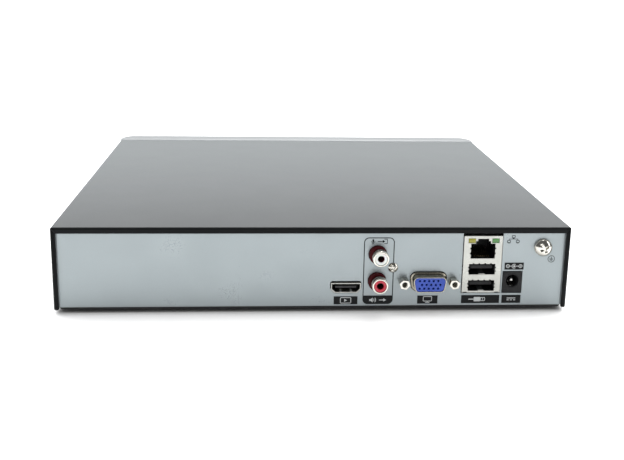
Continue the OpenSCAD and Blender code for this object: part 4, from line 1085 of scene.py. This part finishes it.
def front_details():
    low, high = box("front_bezel")
    strip = Shape(FRONT)
    strip.slab(((low.x + high.x) / 2, 14.9), high.x - low.x - 16.3, 0.56, -0.55, -0.16)
    strip.done("front_accent_strip", "window", "smoked_window", 0.06)
    low, high = box("front_window")
    face = high.y - Y_FRONT
    y = seen_from_behind(low, high)[1]
    pipes = [-(a.x + b.x) / 2 for a, b in solids("light_pipes")]
    ink, dots = Shape(FRONT, (face - 0.01, face + 0.03)), Shape(FRONT)
    drop = [(0, face - 0.01), (0.75, face - 0.01), (0.75, face + 0.05), (0.5, face + 0.1), (0, face + 0.12)]
    for x in pipes:
        dots.turned(drop, (x, y - 1.6, 0), 32)
    power, links, store = pipes[0], pipes[1], pipes[2]
    ink.arc((power, y + 1.4), 1.0, 120, 420, 0.26, steps=20)
    ink.bar((power, y + 1.5), (power, y + 2.7), 0.26)
    for px, py in ((0, 0.9), (-1.1, -0.8), (1.1, -0.8)):
        ink.plate(round_outline((links + px, y + 1.4 + py), 0.9, 0.75, 0.1, 1))
        ink.bar((links, y + 1.4), (links + px, y + 1.4 + py), 0.2)
    ink.band((store, y + 1.4), 1.05, 1.3)
    ink.band((store, y + 1.4), 0.25, 0.5, steps=24)
    ink.done("front_pictograms", "light_print", "white_plastic")
    dots.done("front_indicator_dots", "led", "led_lens")


front_details()
printed_label("rating_label", UNDER, (0, -70), 56, 34, 0.0)


# ---------- stage, light and camera ----------

ROOM = 1.02  # brightness of the white walls
WALL_BEHIND_CAMERA = 0.17  # brightness of the wall behind the camera, in reflections only
WALL_BEHIND_STAGE = (0.9, 6.2)  # brightness of the wall opposite the camera: low down, and high up
BACKDROP = 1.12  # brightness of the room where the camera sees it
FLOOR_GLOW = 0.15  # light that the open floor gives off by itself


def stage():
    """A pale floor with painted shadow: its colour and its glow drop only where something stands close above
    it.
    """
    tree = Tree("pale_floor")
    # Painted shadow: close under and beside the recorder the floor's colour darkens towards 0.1 and its glow
    # fades.
    free_of_painted_shadow = tree.spread(tree.painted_shade_factor(10), 0, 1, 0.1, 0.7)
    cloud = tree.noise(3, 2)
    pale = tree.mix(cloud, (0.86, 0.86, 0.86, 1), (0.88, 0.88, 0.88, 1))
    tree.shader.inputs["Emission Color"].default_value = (1, 1, 1, 1)
    tree.feed(tree.shader.inputs["Emission Strength"], tree.times(free_of_painted_shadow, FLOOR_GLOW))
    tree.dressed(tree.mix(free_of_painted_shadow, (0.1, 0.1, 0.1, 1), pale), tree.spread(tree.noise(40, 3), 0.32, 0.4),
                 tree.bump(tree.noise(900, 2), 0.002))
    bm = bmesh.new()
    bmesh.ops.create_grid(bm, x_segments=24, y_segments=24, size=15)
    floor = into_scene("floor", bm, tree.material)


def softbox(name, at, aim, size, power):
    """A rectangular area light; places and size in metres, power in watts."""
    data = bpy.data.lights.new(name, "AREA")
    data.shape = "RECTANGLE"
    data.size, data.size_y = size
    data.energy = power
    light = bpy.data.objects.new(name, data)
    light.location = at
    light.rotation_euler = (Vector(aim) - Vector(at)).to_track_quat("-Z", "Y").to_euler()
    bpy.context.scene.collection.objects.link(light)


def surroundings():
    """A white room: even light on matt surfaces, and a darker wall behind the camera in reflections."""
    world = bpy.data.worlds.new("studio")
    bpy.context.scene.world = world
    world.use_nodes = True
    graph = Graph(world.node_tree)
    graph.nodes.clear()

    def either(choice, one, two):
        return graph.add("ShaderNodeMix", {0: choice, 2: one, 3: two}).outputs[0]

    way = graph.add("ShaderNodeTexCoord").outputs["Generated"]
    axes = graph.add("ShaderNodeSeparateXYZ", {0: way}).outputs
    path = graph.add("ShaderNodeLightPath").outputs
    front = either(path["Is Glossy Ray"], ROOM, WALL_BEHIND_CAMERA)
    wall = graph.spread(axes["Z"], *WALL_BEHIND_STAGE, 0.2, 0.5)
    lit = graph.spread(axes["Y"], front, wall, -0.25, 0.75, interpolation_type="SMOOTHSTEP")
    light = graph.add("ShaderNodeBackground", {"Strength": either(path["Is Camera Ray"], lit, BACKDROP)})
    graph.add("ShaderNodeOutputWorld", {"Surface": light.outputs[0]})


def camera():
    """The camera stands low behind the recorder's socket side, a little left of the middle."""
    data = bpy.data.cameras.new("camera")
    data.sensor_width = 36.0
    data.lens = 52.28
    data.shift_x = -0.0204
    data.shift_y = -0.0782
    data.clip_start = 0.01
    data.clip_end = 60.0
    view = bpy.data.objects.new("camera", data)
    yaw, pitch, roll = 0.0696, 0.2347, 0.0193
    rear_middle = Vector((0, box("top_cover")[0].y, Z_CASE))
    away = Vector((-25.57, -422.8, 166.6))
    view.matrix_world = (Matrix.Translation((rear_middle + away) * MM) @ Matrix.Rotation(-yaw, 4, "Z")
                         @ Matrix.Rotation(math.pi / 2 - pitch, 4, "X") @ Matrix.Rotation(roll, 4, "Z"))
    bpy.context.scene.collection.objects.link(view)
    bpy.context.scene.camera = view


stage()
surroundings()
softbox("overhead", (0.25, 0.1, 1.3), (0, 0, 0), (0.5, 0.3), 6)
softbox("front_fill", (-0.3, -1.6, 0.9), (0, -0.1, 0.02), (0.9, 0.5), 3)
softbox("right_strip", (1.2, -0.5, 0.6), (0.1, -0.1, 0.03), (0.3, 1.0), 3)
camera()
bpy.context.scene.view_settings.view_transform = "Standard"

bpy.context.view_layer.update()
